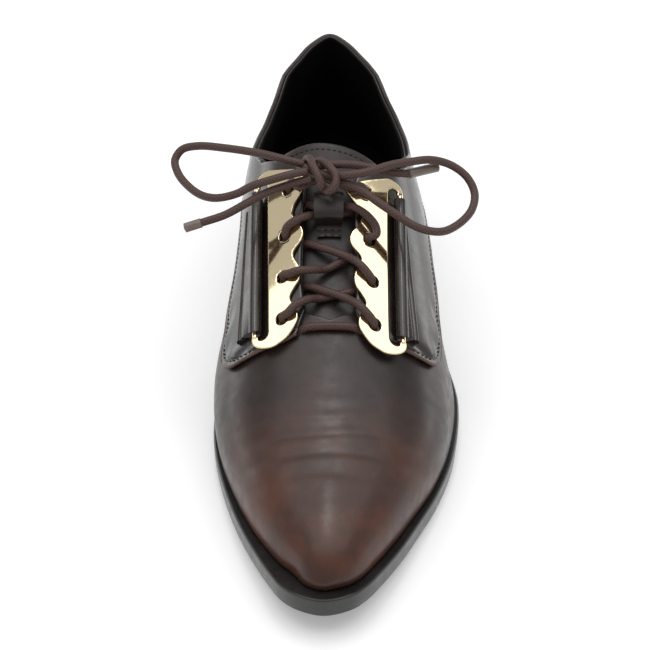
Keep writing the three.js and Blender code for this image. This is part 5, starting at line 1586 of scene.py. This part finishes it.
def build_stage():
    floor_mesh = bpy.data.meshes.new("floor")
    r = 6.0
    floor_mesh.from_pydata([(-r, -r, -0.0005), (r, -r, -0.0005), (r, r, -0.0005), (-r, r, -0.0005)], [],
                           [(0, 1, 2, 3)])
    material, n, shader = new_material("white_sweep")
    noise = n.add("ShaderNodeTexNoise", Scale=3.0)
    n.link(n.add("ShaderNodeTexCoord").outputs["Object"], noise.inputs["Vector"])
    n.link(n.mix(noise.outputs[0], (0.93, 0.93, 0.93), (0.96, 0.96, 0.96)), shader.inputs["Base Color"])
    shader.inputs["Roughness"].default_value = 0.9
    shader.inputs["Emission Color"].default_value = (1, 1, 1, 1)
    shader.inputs["Emission Strength"].default_value = 0.22
    floor_mesh.materials.append(material)
    floor = bpy.data.objects.new("floor", floor_mesh)
    bpy.context.scene.collection.objects.link(floor)
    middle = (0, -0.11, 0.03)
    softbox("wide_box", (0, -0.05, 1.15), middle, (1.9, 1.1), WIDE_POWER)
    softbox("bright_box", (0, 0.1, 1.1), middle, (0.17, 0.42), BRIGHT_POWER)
    for side in SIGN:
        softbox("side_box", (1.15 * side, 0.85, 0.16), middle, (1.1, 0.34), SIDE_POWER)
    world = bpy.data.worlds.new("studio")
    world.use_nodes = True
    back = world.node_tree.nodes["Background"]
    back.inputs["Color"].default_value = (1, 1, 1, 1)
    back.inputs["Strength"].default_value = AMBIENT
    bpy.context.scene.world = world
    bpy.context.scene.view_settings.view_transform = "Standard"


# Settings that a user would change, and one operator for each piece or group


class ShoeSizes(bpy.types.PropertyGroup):
    """Sizes of the finer detail."""
    plate_bevel: bpy.props.FloatProperty(
        name="Plate edge", description="Rounding of the metal plates' edges", default=0.35 * MM,
        min=0.05 * MM, max=0.6 * MM, unit="LENGTH")
    stitch_pitch: bpy.props.FloatProperty(
        name="Stitch pitch", description="Length of one stitch with its gap", default=2.1 * MM,
        min=1 * MM, max=6 * MM, unit="LENGTH")


class ShoeColours(bpy.types.PropertyGroup):
    """Colours of the leather."""
    vamp_dark: bpy.props.FloatVectorProperty(
        name="Vamp", description="Dark brown of the vamp at the instep", subtype="COLOR", size=3,
        default=(0.016, 0.0100, 0.0080), min=0, max=1)
    toe: bpy.props.FloatVectorProperty(
        name="Toe", description="Reddish brown towards the toe", subtype="COLOR", size=3,
        default=(0.085, 0.0270, 0.0140), min=0, max=1)
    quarter: bpy.props.FloatVectorProperty(
        name="Quarters", description="Near-black brown of the quarters", subtype="COLOR", size=3,
        default=(0.011, 0.0070, 0.0058), min=0, max=1)


def operator(name, label, doc, *steps):
    """An operator class that runs the given builders in order."""
    def execute(self, context):
        for step in steps:
            step()
        return {"FINISHED"}
    return type("SHOE_OT_" + name, (bpy.types.Operator,), {
        "__doc__": doc, "bl_idname": "shoe." + name, "bl_label": label, "execute": execute})


def both(builder):
    return lambda: [builder(side) for side in SIDES]


OPERATORS = (
    operator("camera", "Camera", "Places the camera at the photograph's angle", build_camera),
    operator("finishes", "Finishes", "Makes the materials", build_finishes),
    operator("bow", "Bow", "Ties the bow with its tips", build_bow),
    operator("laces", "Laces", "Runs the lace through the eyelets", build_crossings),
    operator("upper", "Upper", "Builds the vamp and its lining", build_upper),
    operator("quarters", "Quarters", "Lays the quarters over the vamp", both(build_quarter)),
    operator("tongue", "Tongue", "Builds the tongue and the lace keeper", build_tongue, build_keeper),
    operator("plates", "Plates", "Builds the polished lacing plates", both(build_plate)),
    operator("straps", "Straps", "Rolls the leather loops round the plates' bars", both(build_strap)),
    operator("sole", "Sole", "Builds the outsole, heel and insole", build_outsole, build_heel, build_insole),
    operator("stage", "Stage", "Adds the floor and the studio light", build_stage),
)


class SHOE_PT_panel(bpy.types.Panel):
    """Lists the builders of the shoe's pieces."""
    bl_label = "Shoe"
    bl_idname = "SHOE_PT_panel"
    bl_space_type = "VIEW_3D"
    bl_region_type = "UI"
    bl_category = "Shoe"

    def draw(self, context):
        for group in (context.scene.shoe_sizes, context.scene.shoe_colours):
            for name in group.bl_rna.properties.keys():
                if name not in ("rna_type", "name"):
                    self.layout.prop(group, name)
        for each in OPERATORS:
            self.layout.operator(each.bl_idname)


CLASSES = (ShoeSizes, ShoeColours, *OPERATORS, SHOE_PT_panel)


def register():
    for each in CLASSES:
        bpy.utils.register_class(each)
    bpy.types.Scene.shoe_sizes = bpy.props.PointerProperty(type=ShoeSizes)
    bpy.types.Scene.shoe_colours = bpy.props.PointerProperty(type=ShoeColours)


def unregister():
    del bpy.types.Scene.shoe_colours
    del bpy.types.Scene.shoe_sizes
    for each in reversed(CLASSES):
        bpy.utils.unregister_class(each)


def main():
    register()
    for each in OPERATORS:
        getattr(bpy.ops.shoe, each.bl_idname.split(".")[1])()


if __name__ == "__main__":
    main()
